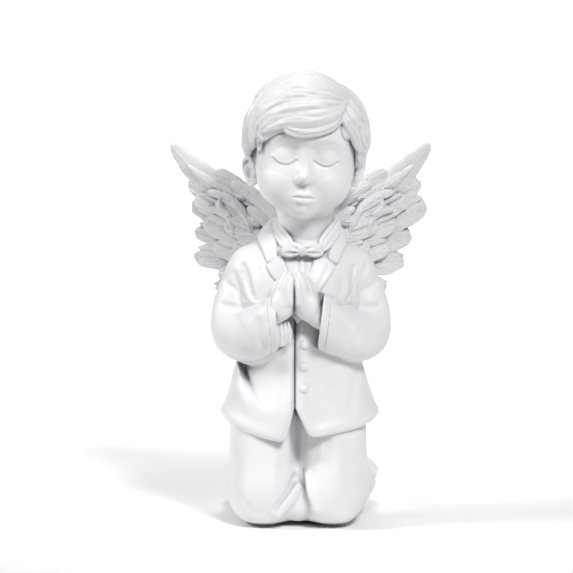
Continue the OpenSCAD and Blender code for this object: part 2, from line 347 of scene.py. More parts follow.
def without_crumbs(points, quads):
    """Drops the small loose parts of a mesh."""
    label = np.arange(len(points))
    edges = np.vstack([quads[:, [0, 1]], quads[:, [1, 2]], quads[:, [2, 3]]])
    while True:
        low = np.minimum(label[edges[:, 0]], label[edges[:, 1]])
        after = label.copy()
        np.minimum.at(after, edges[:, 0], low)
        np.minimum.at(after, edges[:, 1], low)
        after = after[after]
        if (after == label).all():
            break
        label = after
    size = np.bincount(label, minlength=len(points))
    keep = size[label] >= SMALLEST_SHARE * len(points)
    new = np.cumsum(keep) - 1
    return points[keep], new[quads[keep[quads[:, 0]]]]


def clay_mesh(name, clay, place=None):
    """Mesh of the clay's surface, in metres; place moves the points, in millimetres, first."""
    d = clay.d.copy()
    for axis in range(3):
        for end in (0, -1):
            np.moveaxis(d, axis, 0)[end] = FAR
    grid = openvdb.FloatGrid(FAR)
    grid.copyFromArray(np.clip(d, -FAR, FAR))
    points, quads = grid.convertToQuads(0.0)
    points, quads = without_crumbs(points, quads.astype(np.int64))
    points = points * clay.voxel + clay.low
    if place is not None:
        points = place(points)
        if place_flips(place):
            quads = quads[:, ::-1]
    return quad_mesh(name, points * MM, quads)


def place_flips(place):
    """Whether a placing mirrors, so that the faces have to be turned round."""
    corner = place(np.array([[0, 0, 0], [1, 0, 0], [0, 1, 0], [0, 0, 1]], float))
    return np.linalg.det(corner[1:] - corner[0]) < 0


def quad_mesh(name, points, quads):
    mesh = bpy.data.meshes.new(name)
    mesh.vertices.add(len(points))
    mesh.vertices.foreach_set("co", points.astype(np.float32).ravel())
    mesh.loops.add(quads.size)
    mesh.loops.foreach_set("vertex_index", np.ascontiguousarray(quads, np.int32).ravel())
    mesh.polygons.add(len(quads))
    mesh.polygons.foreach_set("loop_start", np.arange(0, quads.size, 4, dtype=np.int32))
    mesh.update(calc_edges=True)
    mesh.polygons.foreach_set("use_smooth", np.ones(len(quads), bool))
    mesh.update()
    return mesh


def piece(name, mesh, material, slot, *nodes):
    """Puts a mesh in the scene as a piece that stands for CAD nodes."""
    thing = bpy.data.objects.new(name, mesh)
    bpy.context.scene.collection.objects.link(thing)
    thing.data.materials.append(material)
    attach(thing, "root")
    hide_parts(*nodes)
    return thing


# ---- head, in its own frame: upright, chin at the origin, face towards -Y -------------------------

head_low, head_high = box_mm("head")
HEAD_LEAN = math.radians(3.5)
SKULL_R = np.array([18.8, 20.4, 21.5])
HEAD_BREADTH = 0.79                                 # a small child's head: breadth over height
HEAD_H = 2 * SKULL_R[0] / HEAD_BREADTH              # chin to the top of the cranium
CROWN_Z = 157.1                                     # top of the cranium, under the hair
CHIN = np.array([0.3, (head_low[1] + head_high[1]) / 2, CROWN_Z - HEAD_H * math.cos(HEAD_LEAN)])
SKULL = np.array([0.0, 0.3, HEAD_H - SKULL_R[2]])
FACE_HALF_W = 0.81 * SKULL_R[0]                     # half breadth across the cheekbones
EYE_Z = 0.45 * HEAD_H
NOSE_Z = 0.27 * HEAD_H
MOUTH_Z = 0.165 * HEAD_H
EYE_X = 7.3                                         # the eyes lie one eye's width apart


def lean_head(points):
    """From the head's own frame to the figure's."""
    x, y, z = points.T
    c, s = math.cos(HEAD_LEAN), math.sin(HEAD_LEAN)
    return np.stack([x * c + z * s, y, z * c - x * s], 1) + CHIN


def mirror_pair(points):
    """A line of points and its mirror image across x = 0."""
    return [points, [(-q[0], *q[1:]) for q in points]]


def sculpt_head():
    clay = Clay((-21, -24.5, -14), (21, 22.5, 48.5), 0.3)
    clay.add(ellipsoid(SKULL, SKULL_R))
    clay.add(ellipsoid((0, -4.2, 0.3 * HEAD_H), (FACE_HALF_W, 14.0, 0.29 * HEAD_H)), 7)
    clay.add(ball((0, -5.2, 0.62 * HEAD_H), 14.6), 6)
    clay.add(ball((0, -14.2, 0.09 * HEAD_H), 4.2), 5)
    for side in (-1, 1):
        clay.add(ellipsoid((side * 0.5 * FACE_HALF_W, -10.4, 0.25 * HEAD_H), (6.8, 7.6, 6.8)), 6)
    clay.add(limb([(1.9, 1.6, -14, 9.6), (1.6, 0.8, -5, 9.6), (0.5, 0.4, 6, 10.2)], 6), 3)
    sculpt_eyes(clay)
    sculpt_nose(clay)
    sculpt_mouth(clay)
    return clay


def sculpt_eyes(clay):
    """Calm lowered lids over round eyes, in shallow sockets."""
    for side in (-1, 1):
        clay.cut(ellipsoid((side * (EYE_X + 0.1), -23.0, EYE_Z + 1.2), (5.4, 3.2, 4.0)), 6.0)
        clay.add(ball((side * EYE_X, -13.8, EYE_Z - 0.3), 4.8), 1.0)
    for root in mirror_pair([(2.9, EYE_Z + 2.6), (3.2, EYE_Z - 0.8)]):
        clay.press(clay.on_front(root), 1.9, 0.7)
    for brow in mirror_pair([(4.0, EYE_Z + 6.8, 0.4), (6.8, EYE_Z + 7.2, 0.6), (10.0, EYE_Z + 6.6, 0.5),
                             (12.2, EYE_Z + 5.0, 0.3)]):
        clay.add(limb(clay.on_front(brow, 0.75), 8), 1.8)
    for lid in mirror_pair([(3.2, EYE_Z - 0.9), (5.0, EYE_Z - 2.2), (7.3, EYE_Z - 2.75), (9.6, EYE_Z - 2.2),
                            (11.5, EYE_Z - 0.8)]):
        edge = clay.on_front([(x, z + 0.55) for x, z in lid], 0.1)
        groove = clay.on_front(lid, 0.0)
        clay.press(smooth_path(edge, 10), 0.6, -0.4)
        clay.press(smooth_path(groove, 10), 0.42, 0.9)
    for fold in mirror_pair([(3.6, EYE_Z + 1.6), (5.4, EYE_Z + 3.1), (7.5, EYE_Z + 3.6), (9.8, EYE_Z + 3.0),
                             (11.9, EYE_Z + 1.0)]):
        clay.press(smooth_path(clay.on_front(fold), 10), 0.7, 0.08)


def sculpt_nose(clay):
    bridge = [(0, -17.8, EYE_Z + 1.5, 1.5), (0, -19.0, EYE_Z - 3.0, 1.5), (0, -21.0, NOSE_Z + 1.9, 2.0)]
    clay.add(limb(bridge, 8), 2.6)
    for side in (-1, 1):
        clay.add(ball((side * 2.05, -19.5, NOSE_Z + 1.1), 1.35), 0.9)
        clay.cut(ball((side * 1.15, -20.4, NOSE_Z - 0.5), 0.42), 0.5)


def sculpt_mouth(clay):
    z = MOUTH_Z
    front = clay.front_y(0, z)
    clay.add(ellipsoid((0, front + 2.2, z + 0.1), (4.8, 2.5, 3.6)), 2.6)
    upper = [(-3.3, z + 0.1, 0.4), (-1.4, z + 0.85, 0.9), (0, z + 0.6, 0.85), (1.4, z + 0.85, 0.9),
             (3.3, z + 0.1, 0.4)]
    clay.add(limb(clay.on_front(upper, 0.45), 10), 0.7)
    lower = [(-2.5, z - 1.0, 0.4), (-1.0, z - 1.5, 1.05), (1.0, z - 1.5, 1.05), (2.5, z - 1.0, 0.4)]
    clay.add(limb(clay.on_front(lower, 0.6), 10), 0.7)
    line = clay.on_front([(-3.6, z - 0.35), (-1.8, z - 0.25), (0, z - 0.4), (1.8, z - 0.25), (3.6, z - 0.35)])
    clay.press(smooth_path(line, 10), 0.36, 0.6)
    clay.press(clay.on_front([(0, NOSE_Z - 1.0), (0, z + 2.2)]), 0.7, 0.3)
    clay.press(clay.on_front([(-1.4, z - 3.4), (1.4, z - 3.4)]), 1.1, 0.35)


# ---- hair ---------------------------------------------------------------------------------------

HAIR_R = SKULL_R + (1.5, 1.0, 0.5)                  # the surface that the locks lie on
PART_LINE = [(40, 33), (56, 42), (72, 50), (100, 60), (135, 66), (165, 68)]    # from the brow to the crown
LOCK_SEED = 23


def head_dir(azimuth, elevation):
    """Unit direction from the skull's middle: azimuth 0 is forwards, 90 the figure's left."""
    a, e = math.radians(azimuth), math.radians(elevation)
    return np.array([math.sin(a) * math.cos(e), -math.cos(a) * math.cos(e), math.sin(e)])


def on_curve(points, t):
    """Point of a smooth curve through points at t from 0 to 1."""
    return smooth_path(points, 40)[int(round(t * 40))]


def lock(path, half_w, half_t, lift=0.0, strands=2, phase=0.0, steps=14):
    """One lock of hair over the skull along a line of directions from the skull's middle."""
    u = smooth_path([tuple(q) for q in path], steps)
    u = np.array(u) / np.linalg.norm(u, axis=1)[:, None]
    t = np.linspace(0, 1, len(u))
    height = lift * np.minimum(1, 0.2 + 3 * t) + 0.45 * np.sin(math.pi * t)
    points = SKULL + u * (HAIR_R + height[:, None])
    taper = np.minimum(1, 0.5 + 1.7 * t) * np.sqrt(np.maximum(1 - np.maximum(0, (t - 0.5) / 0.52) ** 2, 0.02))

    def relief(across, along):
        weave = 1.6 * np.sin(along / 4.6 + phase)
        fine = np.cos(math.pi * strands * across + weave)
        return 0.17 * fine + 0.09 * np.cos(2.3 * math.pi * strands * across - weave + phase)

    return blade(points, u / HAIR_R, half_w * taper, half_t * (0.45 + 0.55 * taper), relief)


def hair_cap():
    """The mass of hair under the locks, from the hairline up."""
    turn = [-180, -130, -100, -80, -66, -52, -30, 0, 20, 36, 48, 64, 80, 100, 130, 180]
    edge = [-30, -24, -8, 0, 4, 14, 16, 18, 24, 28, 14, 0, -6, -8, -24, -30]

    def field(p):
        u = [(axis - c) / r for axis, c, r in zip(p, SKULL, HAIR_R)]
        q = np.sqrt(u[0] ** 2 + u[1] ** 2 + u[2] ** 2)
        azimuth = np.degrees(np.arctan2(u[0], -u[1]))
        elevation = np.degrees(np.arcsin(np.clip(u[2] / np.maximum(q, 1e-6), -1, 1)))
        above = (np.interp(azimuth, turn, edge) - elevation) * (math.radians(1) * SKULL_R[0])
        return smooth_max((q - 1) * SKULL_R[0], above, 1.5).astype(np.float32)

    return Solid(SKULL - HAIR_R - 1, SKULL + HAIR_R + 1, field)


def sweep_locks(rng, count, ends, middles, half_w, half_t, lift, offset=0.0, ragged=0.0):
    """A layer of waved locks that start along the part and end along a line of directions."""
    out = []
    for i in range(count):
        t = min(1.0, (i + offset) / (count - 1 + offset))
        last = on_curve(ends, t) + rng.uniform(-1, 1, 2) * ragged
        start, middle = head_dir(*on_curve(PART_LINE, t)), head_dir(*on_curve(middles, t))
        end = head_dir(*last)
        sway = math.radians(rng.uniform(0.4, 1.0) * ragged) * (1 if rng.random() < 0.65 else -1)
        quarter = unit(start + middle) + unit(np.cross(start, middle)) * sway
        third = unit(middle + end) - unit(np.cross(middle, end)) * sway * 1.2
        wide = half_w * rng.uniform(0.7, 1.3)
        high = lift + rng.uniform(-0.4, 0.45)
        path = [start, quarter, middle, third, end]
        out.append(lock(path, wide, half_t, high, 1 + i % 2, rng.uniform(0, 6)))
    return out


FRINGE = [                                          # directions, half width, half thickness, lift
    ([(50, 40), (24, 31), (-4, 26), (-34, 21), (-50, 10)], 4.4, 2.1, 0.9),
    ([(56, 44), (20, 44), (-20, 42), (-46, 29), (-57, 12), (-54, 3)], 3.6, 1.9, 1.5),
    ([(50, 38), (26, 36), (-2, 34), (-28, 28), (-44, 17), (-46, 9)], 2.6, 1.7, 1.9),
    ([(42, 33), (30, 22), (12, 15), (-8, 12), (-20, 15), (-24, 22)], 2.4, 1.6, 0.8),
    ([(42, 34), (24, 27), (4, 21), (-14, 20), (-32, 14), (-46, 7)], 2.2, 1.5, 1.7),
    ([(0, 14), (-12, 13), (-17, 18), (-11, 21), (-6, 18)], 1.2, 1.0, 1.1),
    ([(-10, 24), (-28, 22), (-42, 15), (-48, 6), (-45, 1)], 1.8, 1.3, 1.5),
    ([(-40, 42), (-58, 32), (-64, 16), (-58, 2), (-62, -8)], 2.4, 1.6, 1.3),
    ([(-56, 40), (-72, 26), (-70, 10), (-78, -2), (-72, -14)], 2.3, 1.5, 1.2),
    ([(-66, 26), (-76, 12), (-70, 0), (-76, -12), (-68, -24)], 1.7, 1.2, 0.9),
    ([(-84, 34), (-92, 18), (-84, 2), (-90, -10), (-84, -20)], 2.2, 1.4, 0.9),
    ([(44, 34), (42, 22), (50, 12), (56, 2), (70, -8)], 2.3, 1.5, 1.0),
    ([(52, 40), (52, 26), (62, 16), (64, 4), (78, -6)], 2.3, 1.5, 1.3),
    ([(60, 42), (64, 28), (76, 18), (76, 4), (88, -8)], 2.3, 1.5, 1.1),
    ([(56, 10), (60, -2), (72, -8), (76, -18), (88, -22)], 1.7, 1.2, 0.8),
    ([(66, 0), (66, -12), (76, -18), (80, -28)], 1.3, 1.0, 0.4),
]


def sculpt_hair():
    clay = Clay((-24, -26, 2), (25, 25.5, 52.5), 0.3)
    rng = np.random.default_rng(LOCK_SEED)
    clay.add(hair_cap())
    left_ends = [(-42, 8), (-56, 0), (-72, -12), (-88, -10), (-108, -16), (-135, -28), (-165, -33)]
    left_middles = [(-2, 26), (-16, 42), (-38, 52), (-66, 52), (-90, 46), (-118, 36), (-150, 26)]
    right_ends = [(56, 4), (64, -8), (78, -20), (94, -12), (112, -18), (140, -29), (172, -33)]
    right_middles = [(50, 20), (64, 24), (80, 25), (94, 26), (112, 26), (138, 24), (165, 24)]
    for locks in (
        sweep_locks(rng, 13, left_ends, left_middles, 4.6, 1.6, 0.0, 0.0, 7.0),
        sweep_locks(rng, 12, right_ends, right_middles, 3.8, 1.5, 0.0, 0.0, 6.0),
        sweep_locks(rng, 12, left_ends, left_middles, 2.8, 1.5, 0.6, 0.5, 9.0),
        sweep_locks(rng, 11, right_ends, right_middles, 2.4, 1.3, 0.7, 0.5, 6.0),
    ):
        for one in locks:
            clay.add(one, 0.15)
    for i, azimuth in enumerate(np.linspace(132, 228, 13)):
        sway = [azimuth + q for q in rng.uniform(-7, 7, 3)]
        low = rng.uniform(-35, -30)
        path = [(150, 66), (sway[0], 46), (sway[1], 20), (azimuth, -6), (sway[2], low)]
        wide, lift = rng.uniform(2.4, 3.8), rng.uniform(0.2, 0.9)
        clay.add(lock([head_dir(*q) for q in path], wide, 1.4, lift, 1 + i % 3, rng.uniform(0, 6)), 0.15)
    for i, (path, half_w, half_t, lift) in enumerate(FRINGE):
        clay.add(lock([head_dir(*q) for q in path], half_w, half_t, lift, 1 + i % 2, 1.7 * i), 0.15)
    return clay


# ---- ears ---------------------------------------------------------------------------------------


def sculpt_ear():
    """An ear in its own frame: x out from the head, y backwards, z up."""
    clay = Clay((-4.5, -6, -8), (4.5, 7, 8), 0.25)
    clay.add(ellipsoid((-0.4, 0.4, 0), (1.3, 3.9, 6.0)))
    rim = [(-0.2, -1.6, 0.6, 0.6), (0.9, -3.0, 2.6, 0.9), (1.0, -2.0, 5.2, 1.05), (0.9, 1.0, 6.2, 1.05),
           (0.7, 3.8, 4.6, 1.05), (0.5, 4.5, 1.2, 1.0), (0.3, 3.2, -2.6, 0.9), (0.1, 0.9, -5.2, 1.2),
           (-0.3, -1.0, -4.6, 1.1)]
    clay.add(limb(rim, 24), 0.5)
    inner_fold = [(0.6, 0.2, 3.8, 0.5), (0.9, 2.2, 2.0, 0.7), (0.8, 2.2, -0.8, 0.7), (0.6, 0.8, -3.2, 0.7)]
    clay.add(limb(inner_fold, 12), 0.5)
    clay.add(ball((0.3, -2.2, -1.6), 1.1), 0.6)
    clay.cut(ellipsoid((1.1, -0.1, -0.4), (1.7, 1.7, 2.5)), 0.4)
    clay.add(limb([(-2.8, 0.4, -3, 2.2), (-2.8, 0.2, 3, 2.6)], 4), 1.0)
    return clay


def ear_place(side):
    """Puts an ear on the side of the head where its CAD node lies, flared backwards."""
    low, high = box_mm("left_ear" if side > 0 else "right_ear")
    flare = math.radians(30)
    c, s = math.cos(flare), math.sin(flare)

    def place(points):
        x, y, z = points.T
        z = 0.84 * z + 0.9
        x = x - 0.05 * np.maximum(0, 2 - z) ** 1.4
        turned = np.stack([side * (x * c + y * s), y * c - x * s, z], 1)
        x, y, z = turned.T
        c2, s2 = math.cos(HEAD_LEAN), math.sin(HEAD_LEAN)
        return np.stack([x * c2 + z * s2, y, z * c2 - x * s2], 1) + (low + high) / 2

    return place


# ---- wings --------------------------------------------------------------------------------------


def wing_y(x):
    """Depth of the wing's middle surface at a distance from the middle plane."""
    return 4.0 + 0.45 * x + 0.0042 * x * x


def wing_normal(x):
    """Normal of the wing's surface, towards the front."""
    slope = 0.45 + 0.0084 * x
    return unit((slope, -1.0, 0.0))


BARB_STEP = 3.1                                     # distance along a feather from one groove to the next


def feather(root, tip, half_w, half_t, bow=0.0, lift=0.0, pointed=0.0, tilt=0.16, seed=0.0, barb=0.3):
    """One feather between two points (x, z) of the wing.

    Bow bends it upwards, lift raises it off the surface, tilt brings its lower edge over the next one.
    """
    root, tip = np.array(root, float), np.array(tip, float)
    t = np.linspace(0, 1, 20)[:, None]
    ahead = tip - root
    length = float(np.linalg.norm(ahead))
    middle = (root + tip) / 2 + np.array([-ahead[1], ahead[0]]) * bow
    xz = (1 - t) ** 2 * root + 2 * t * (1 - t) * middle + t**2 * tip
    t = t[:, 0]
    flat = np.array([wing_normal(x) for x in xz[:, 0]])
    normals = flat + np.outer(tilt * np.minimum(1, 3 * t), (0, 0, 1))
    rise = lift + 0.8 * t**2 * (1 if lift >= 0 else -1)
    points = np.stack([xz[:, 0], wing_y(xz[:, 0]), xz[:, 1]], 1) + flat * rise[:, None]
    close = min(0.5, 1.15 * half_w / length)
    blunt = np.sqrt(np.maximum(1 - np.maximum(0, (t - 1 + close) / close) ** 2, 0.03))
    sharp = np.maximum(1 - np.maximum(0, (t - 0.2) / 0.8) ** 1.7, 0.14)
    ragged = 1 + 0.07 * np.sin(19 * t + seed) * t + 0.05 * np.sin(41 * t + 2 * seed) * t
    swell = 0.6 + 0.4 * np.sin(0.5 * math.pi * np.minimum(t / 0.6, 1))
    shape = swell * (blunt * (1 - pointed) + sharp * pointed)

    def relief(across, along):
        out = np.abs(across) * half_w
        waver = 0.7 * np.sin(0.7 * along + seed)
        sweep = along - 2.6 * out + waver + 0.35 * np.sin(1.9 * across + 2 * seed)
        fine = 0.4 * np.cos(4.3 * math.pi * sweep / BARB_STEP + seed)
        barbs = np.cos(2 * math.pi * sweep / BARB_STEP) + fine
        return 0.22 * np.exp(-(across * half_w / 0.4) ** 2) - 0.25 * across**2 + barb * barbs

    return blade(points, normals, half_w * shape * ragged, half_t * (1 - 0.35 * t), relief, flat=True)


WING_BARE = [                                       # x, y, z, radius: the arm of the wing, without feathers
    ((2, 5, 84, 3.6), (7, 7.6, 90, 4.2), (13, 10.2, 97, 3.6), (20, 14, 104, 2.6)),
    ((3, 5, 98, 3.4), (9, 8.5, 105, 3.6), (15, 12.0, 111.0, 3.2), (22, 16.4, 115.6, 2.6),
     (29, 20.6, 118.2, 1.8)),
]
OUTER = {                                           # root, tip, half width, bow, pointed
    1: [
        ((9, 88), (30.0, 78.6), 3.3, -0.12, 0.35),
        ((10, 92), (36.0, 87.4), 4.4, -0.14, 0.15),
        ((12, 96), (38.4, 97.0), 4.9, -0.12, 0.15),
        ((14, 101), (43.4, 107.2), 5.6, -0.12, 0.1),
        ((18, 106), (42.4, 115.0), 4.2, -0.16, 0.45),
    ],
    -1: [
        ((9, 88), (29.8, 78.2), 3.2, -0.12, 0.4),
        ((10, 91), (37.6, 89.4), 4.4, -0.10, 0.3),
        ((12, 96), (37.2, 98.4), 4.2, -0.10, 0.35),
        ((14, 101), (37.6, 108.4), 4.8, -0.14, 0.3),
        ((18, 106), (39.6, 115.6), 4.0, -0.16, 0.45),
    ],
}
MIDDLE = [                                          # root, tip, half width, bow
    ((7, 87), (27.0, 84.6), 3.8, -0.10),
    ((9, 92), (29.6, 93.6), 4.2, -0.08),
    ((11, 97), (32.4, 102.2), 4.3, -0.10),
    ((15, 103), (35.6, 110.6), 3.9, -0.14),
]
INNER = [
    ((6, 87), (18.8, 87.4), 3.2, -0.06),
    ((7, 92), (21.6, 94.6), 3.5, -0.06),
    ((10, 98), (24.2, 102.4), 3.5, -0.10),
    ((14, 104), (28.0, 109.6), 3.0, -0.16),
]
TUFTS = [                                           # root, tip, half width, bow, lift
    ((17, 111), (29.6, 120.6), 2.5, 0.20, 0.6),
    ((12, 106), (23.4, 116.8), 2.5, 0.24, 1.6),
    ((24, 114), (36.0, 119.4), 2.3, 0.10, 0.5),
    ((16, 101), (31.0, 113.4), 1.9, 0.34, 3.2),
    ((22, 99), (30.6, 107.2), 1.7, 0.52, 3.6),
    ((26, 112), (22.6, 106.0), 1.5, 0.60, 3.9),
    ((8, 99), (17.0, 108.6), 2.2, 0.20, 2.8),
]


def split_vane(root, tip, half_w, edge, longer, seed, lift=0.0):
    """A narrow lock of a feather's vane, edge from -1 to 1 across it, that ends beyond or before its tip."""
    root, tip = np.array(root, float), np.array(tip, float)
    ahead = (tip - root) / np.linalg.norm(tip - root)
    across = np.array([-ahead[1], ahead[0]]) * edge * half_w
    start = root + (tip - root) * 0.5 + across * 0.75
    end = tip + across + ahead * (longer - 1.6 * abs(edge))
    raised = lift + 0.35 * (1 if lift >= 0 else -1)
    return feather(start, end, 0.42 * half_w, 1.15, 0.1 * edge, raised, 0.55, 0.26, seed, 0.12)


def sculpt_wing(side):
    clay = Clay((1, 0, 72), (49.5, 39, 131), 0.3)
    rng = np.random.default_rng(5 + side)
    jitter = lambda amount: rng.uniform(-amount, amount)
    for arm in WING_BARE:
        clay.add(limb(arm, 12), 2)
    for root, tip, half_w, bow, pointed in OUTER[side]:
        clay.add(feather(root, tip, half_w, 1.1, bow, 0.0, pointed, 0.26, rng.uniform(0, 6)), 0.1)
        for edge in (-0.62, 0.1, 0.58):             # splits of the vane at the feather's end
            clay.add(split_vane(root, tip, half_w, edge + jitter(0.12), jitter(1.0), rng.uniform(0, 6)), 0.1)
    clay.add(feather((15, 108.5), (45.4, 128.6), 6.0, 1.6, -0.15, 0.3, 0.5, 0.1, 1.0, 0.12), 0.1)
    clay.add(feather((20, 112), (38.6, 122.0), 2.6, 1.1, -0.14, 1.7, 0.7, 0.1, 2.0, 0.14), 0.3)
    for rank, tier in enumerate((MIDDLE, INNER), 1):
        for root, tip, half_w, bow in tier:
            end = (tip[0] + jitter(0.9), tip[1] + jitter(0.6))
            for face in (1, -1):
                lift = face * (0.5 + 1.25 * rank)
                bend = bow + jitter(0.05)
                clay.add(feather(root, end, half_w, 1.0, bend, lift, 0.2, 0.3, rng.uniform(0, 6)), 0.1)
                for edge in (-0.5, 0.5):
                    clay.add(split_vane(root, end, half_w, edge + jitter(0.15), jitter(0.8), 3.0, lift), 0.1)
    for root, tip, half_w, bow, lift in TUFTS:
        clay.add(feather(root, tip, half_w, 1.2, bow, lift, 0.25, 0.1, rng.uniform(0, 6), 0.16), 0.15)
    clay.keep(-torso_distance(clay.p) - 1.2, 0.4)
    return clay


def to_side(side):
    """Wings and shoes are sculpted for the figure's left (1), and mirrored for its right (-1)."""
    return lambda points: points * (side, 1, 1)


# ---- jacket and sleeves: one form, parted into its pieces ----------------------------------------

CLOSURE_X = -2.1                                    # where the left panel's edge lies over the right panel
PALM_X = box_mm("right_hand")[1][0]                 # plane in which the palms meet
TORSO = [                                           # z, half width, front y, back y
    (29, 28.2, -33.0, 14.8), (40, 27.2, -31.8, 14.0), (46, 25.4, -30.6, 13.0), (52, 23.4, -29.2, 12.0),
    (59, 21.8, -28.0, 11.0), (66, 21.6, -27.2, 10.8), (72, 22.0, -26.6, 11.2), (79, 22.4, -25.8, 11.6),
    (86, 21.8, -24.4, 11.0), (91.5, 19.6, -22.2, 9.2), (96, 16.4, -19.8, 6.8), (99.5, 13.0, -17.6, 4.4),
    (102.5, 10.0, -15.6, 2.6),
]
SLEEVE = [                                          # x, y, z, radius, for the figure's left
    (17.0, -5.6, 89.0, 6.9), (21.2, -6.2, 81.5, 7.9), (23.2, -8.2, 73.5, 8.6), (22.6, -13.0, 67.4, 9.0),
    (18.6, -19.4, 66.8, 9.1), (13.6, -24.4, 69.8, 9.0), (8.6, -27.4, 73.4, 8.8), (4.0, -29.4, 76.2, 8.6),
]


def torso_distance(p):
    d = loft(TORSO, 2.35, -0.4).field(p)
    for side in (-1, 1):
        shoulder = cone((side * 8, -7, 93.2, 6.4), (side * 17.4, -6, 89, 7.0))
        d = smooth_min(d, shoulder.field(p), 5)
    return d


def sleeve_distance(side, p):
    path = smooth_path([(side * x, y, z, r) for x, y, z, r in SLEEVE], 18)
    return tube(path, reach=7.0).field(p)


def cuff_edge(side, p, inset=0.0):
    """Negative on the arm's side of the sleeve's end."""
    x, y, z = p
    base, slope = (6.9, 0.12) if side > 0 else (8.6, 0.08)
    return (base + inset + (z - 74) * slope - side * x) + 0 * y


def hem_distance(p):
    """Negative above the hem: two rounded flaps in front, level behind."""
    x, y, z = p
    flaps = []
    for side, low_x, low_z, out_x, out_z in ((-1, -7.6, 30.8, -27.3, 36.6), (1, 5.0, 32.8, 26.6, 36.8)):
        ex, ez = out_x - low_x, out_z - low_z
        length = math.hypot(ex, ez)
        bulge = 0.7 * np.sin(math.pi * np.clip((x - low_x) / ex, 0, 1))
        lower = ((x - low_x) * ez * side - (z + bulge - low_z) * ex * side) / length
        meet_x, meet_z = CLOSURE_X + 0.15 * side, 43.0
        gx, gz = low_x + side * -2.2 - meet_x, low_z - meet_z
        length = math.hypot(gx, gz)
        inner = side * ((x - meet_x) * gz - (z - meet_z) * gx) / length
        inner = np.where(z > meet_z, side * (meet_x - x), inner)
        flaps.append(smooth_max(lower, inner, 3.0))
    front = np.minimum(flaps[0], flaps[1]) + 0 * y
    level = 36.4 + 0.5 * np.sin(x * 0.35 + 1) - z
    return front + (level - front) * smooth_step(-12, -6, y)


def sculpt_clothes():
    """The coat as one form, with its folds, then parted into jacket, sleeves and cuffs."""
    clay = Clay((-34, -38, 27), (34, 18, 107), 0.36)
    torso = torso_distance(clay.p).astype(np.float32)
    arms = {side: sleeve_distance(side, clay.p) for side in (-1, 1)}
    softness = 1.0 + 5.0 * smooth_step(80, 91, clay.p[2])
    clay.d = torso
    for side in (-1, 1):
        clay.d = smooth_min(clay.d, arms[side], softness).astype(np.float32)
    hem = hem_distance(clay.p)
    skirt = smooth_step(64, 56, clay.p[2])
    clay.d = np.where(skirt > 0, clay.d - 0.8 * skirt * np.exp(-(((hem + 2.4) / 2.2) ** 2)), clay.d)
    close_front(clay)
    fold_skirt(clay, np.minimum(arms[-1], arms[1]))
    fold_chest(clay)
    for side in (-1, 1):
        fold_sleeve(clay, side)
    clay.cut(limb([(1.2, -20, 98.6, 3.2), (1.7, -17.6, 103, 7.2), (1.8, -14, 108, 10.4)], 8), 1.0)
    add_coat_collar(clay)
    pieces = {}
    body = np.minimum(arms[-1], arms[1])
    pieces["jacket"] = same_grid(clay).keep((torso - body) / 2 - 0.1, 0).keep(hem, 1.8)
    for side, name in ((1, "left"), (-1, "right")):
        arm = same_grid(clay).keep((arms[side] - torso) / 2 - 0.1, 0)
        open_end(arm, side)
        pieces[name + "_cuff"] = same_grid(arm).keep(-cuff_edge(side, clay.p, CUFF_W) - 0.12, 0.08)
        if side < 0:
            add_ruffle(pieces[name + "_cuff"])
        pieces[name + "_sleeve"] = arm.keep(cuff_edge(side, clay.p, CUFF_W), 0.08)
    return pieces


CUFF_W = 2.6                                        # width of the turned edge of the sleeve


def same_grid(clay):
    out = Clay.__new__(Clay)
    out.voxel, out.low, out.p, out.d = clay.voxel, clay.low, clay.p, clay.d.copy()
    return out


def open_end(clay, side):
    """Cuts the sleeve's end and hollows it a little round the wrist."""
    clay.keep(cuff_edge(side, clay.p), 1.0)
    mouth = [(side * x, y, z, r) for x, y, z, r in
             ((11.4, -26.0, 71.6, 3.5), (8.6, -27.4, 73.2, 5.6), (5.0, -29.0, 75.4, 6.6))]
    clay.cut(limb(mouth, 8), 1.0)


def add_ruffle(clay):
    """The shirt's cuff, gathered in small upright pleats under the right wrist."""
    clay.add(ellipsoid((-6.8, -28.4, 69.4), (3.8, 2.2, 5.0)), 1.0)
    for x in (-8.3, -6.9, -5.5, -4.2):
        pleat = [(x - 0.2, -30.2, 73.4, 0.4), (x, -30.7, 69.8, 0.6), (x + 0.2, -30.0, 65.8, 0.5)]
        clay.add(limb(pleat, 8), 0.5)


def close_front(clay):
    """The left panel lies over the right one, with a dark line along its edge."""
    x, y, z = clay.p
    front = smooth_step(-8, -14, y) * smooth_step(78, 70, z)
    over = smooth_step(CLOSURE_X - 0.1, CLOSURE_X + 0.35, x) * smooth_step(16, 0, x)
    clay.d -= (1.0 * over * front).astype(np.float32)
    clay.press(clay.on_front([(CLOSURE_X - 0.5, q) for q in range(42, 78, 3)], 0.25), 0.75, 0.9)


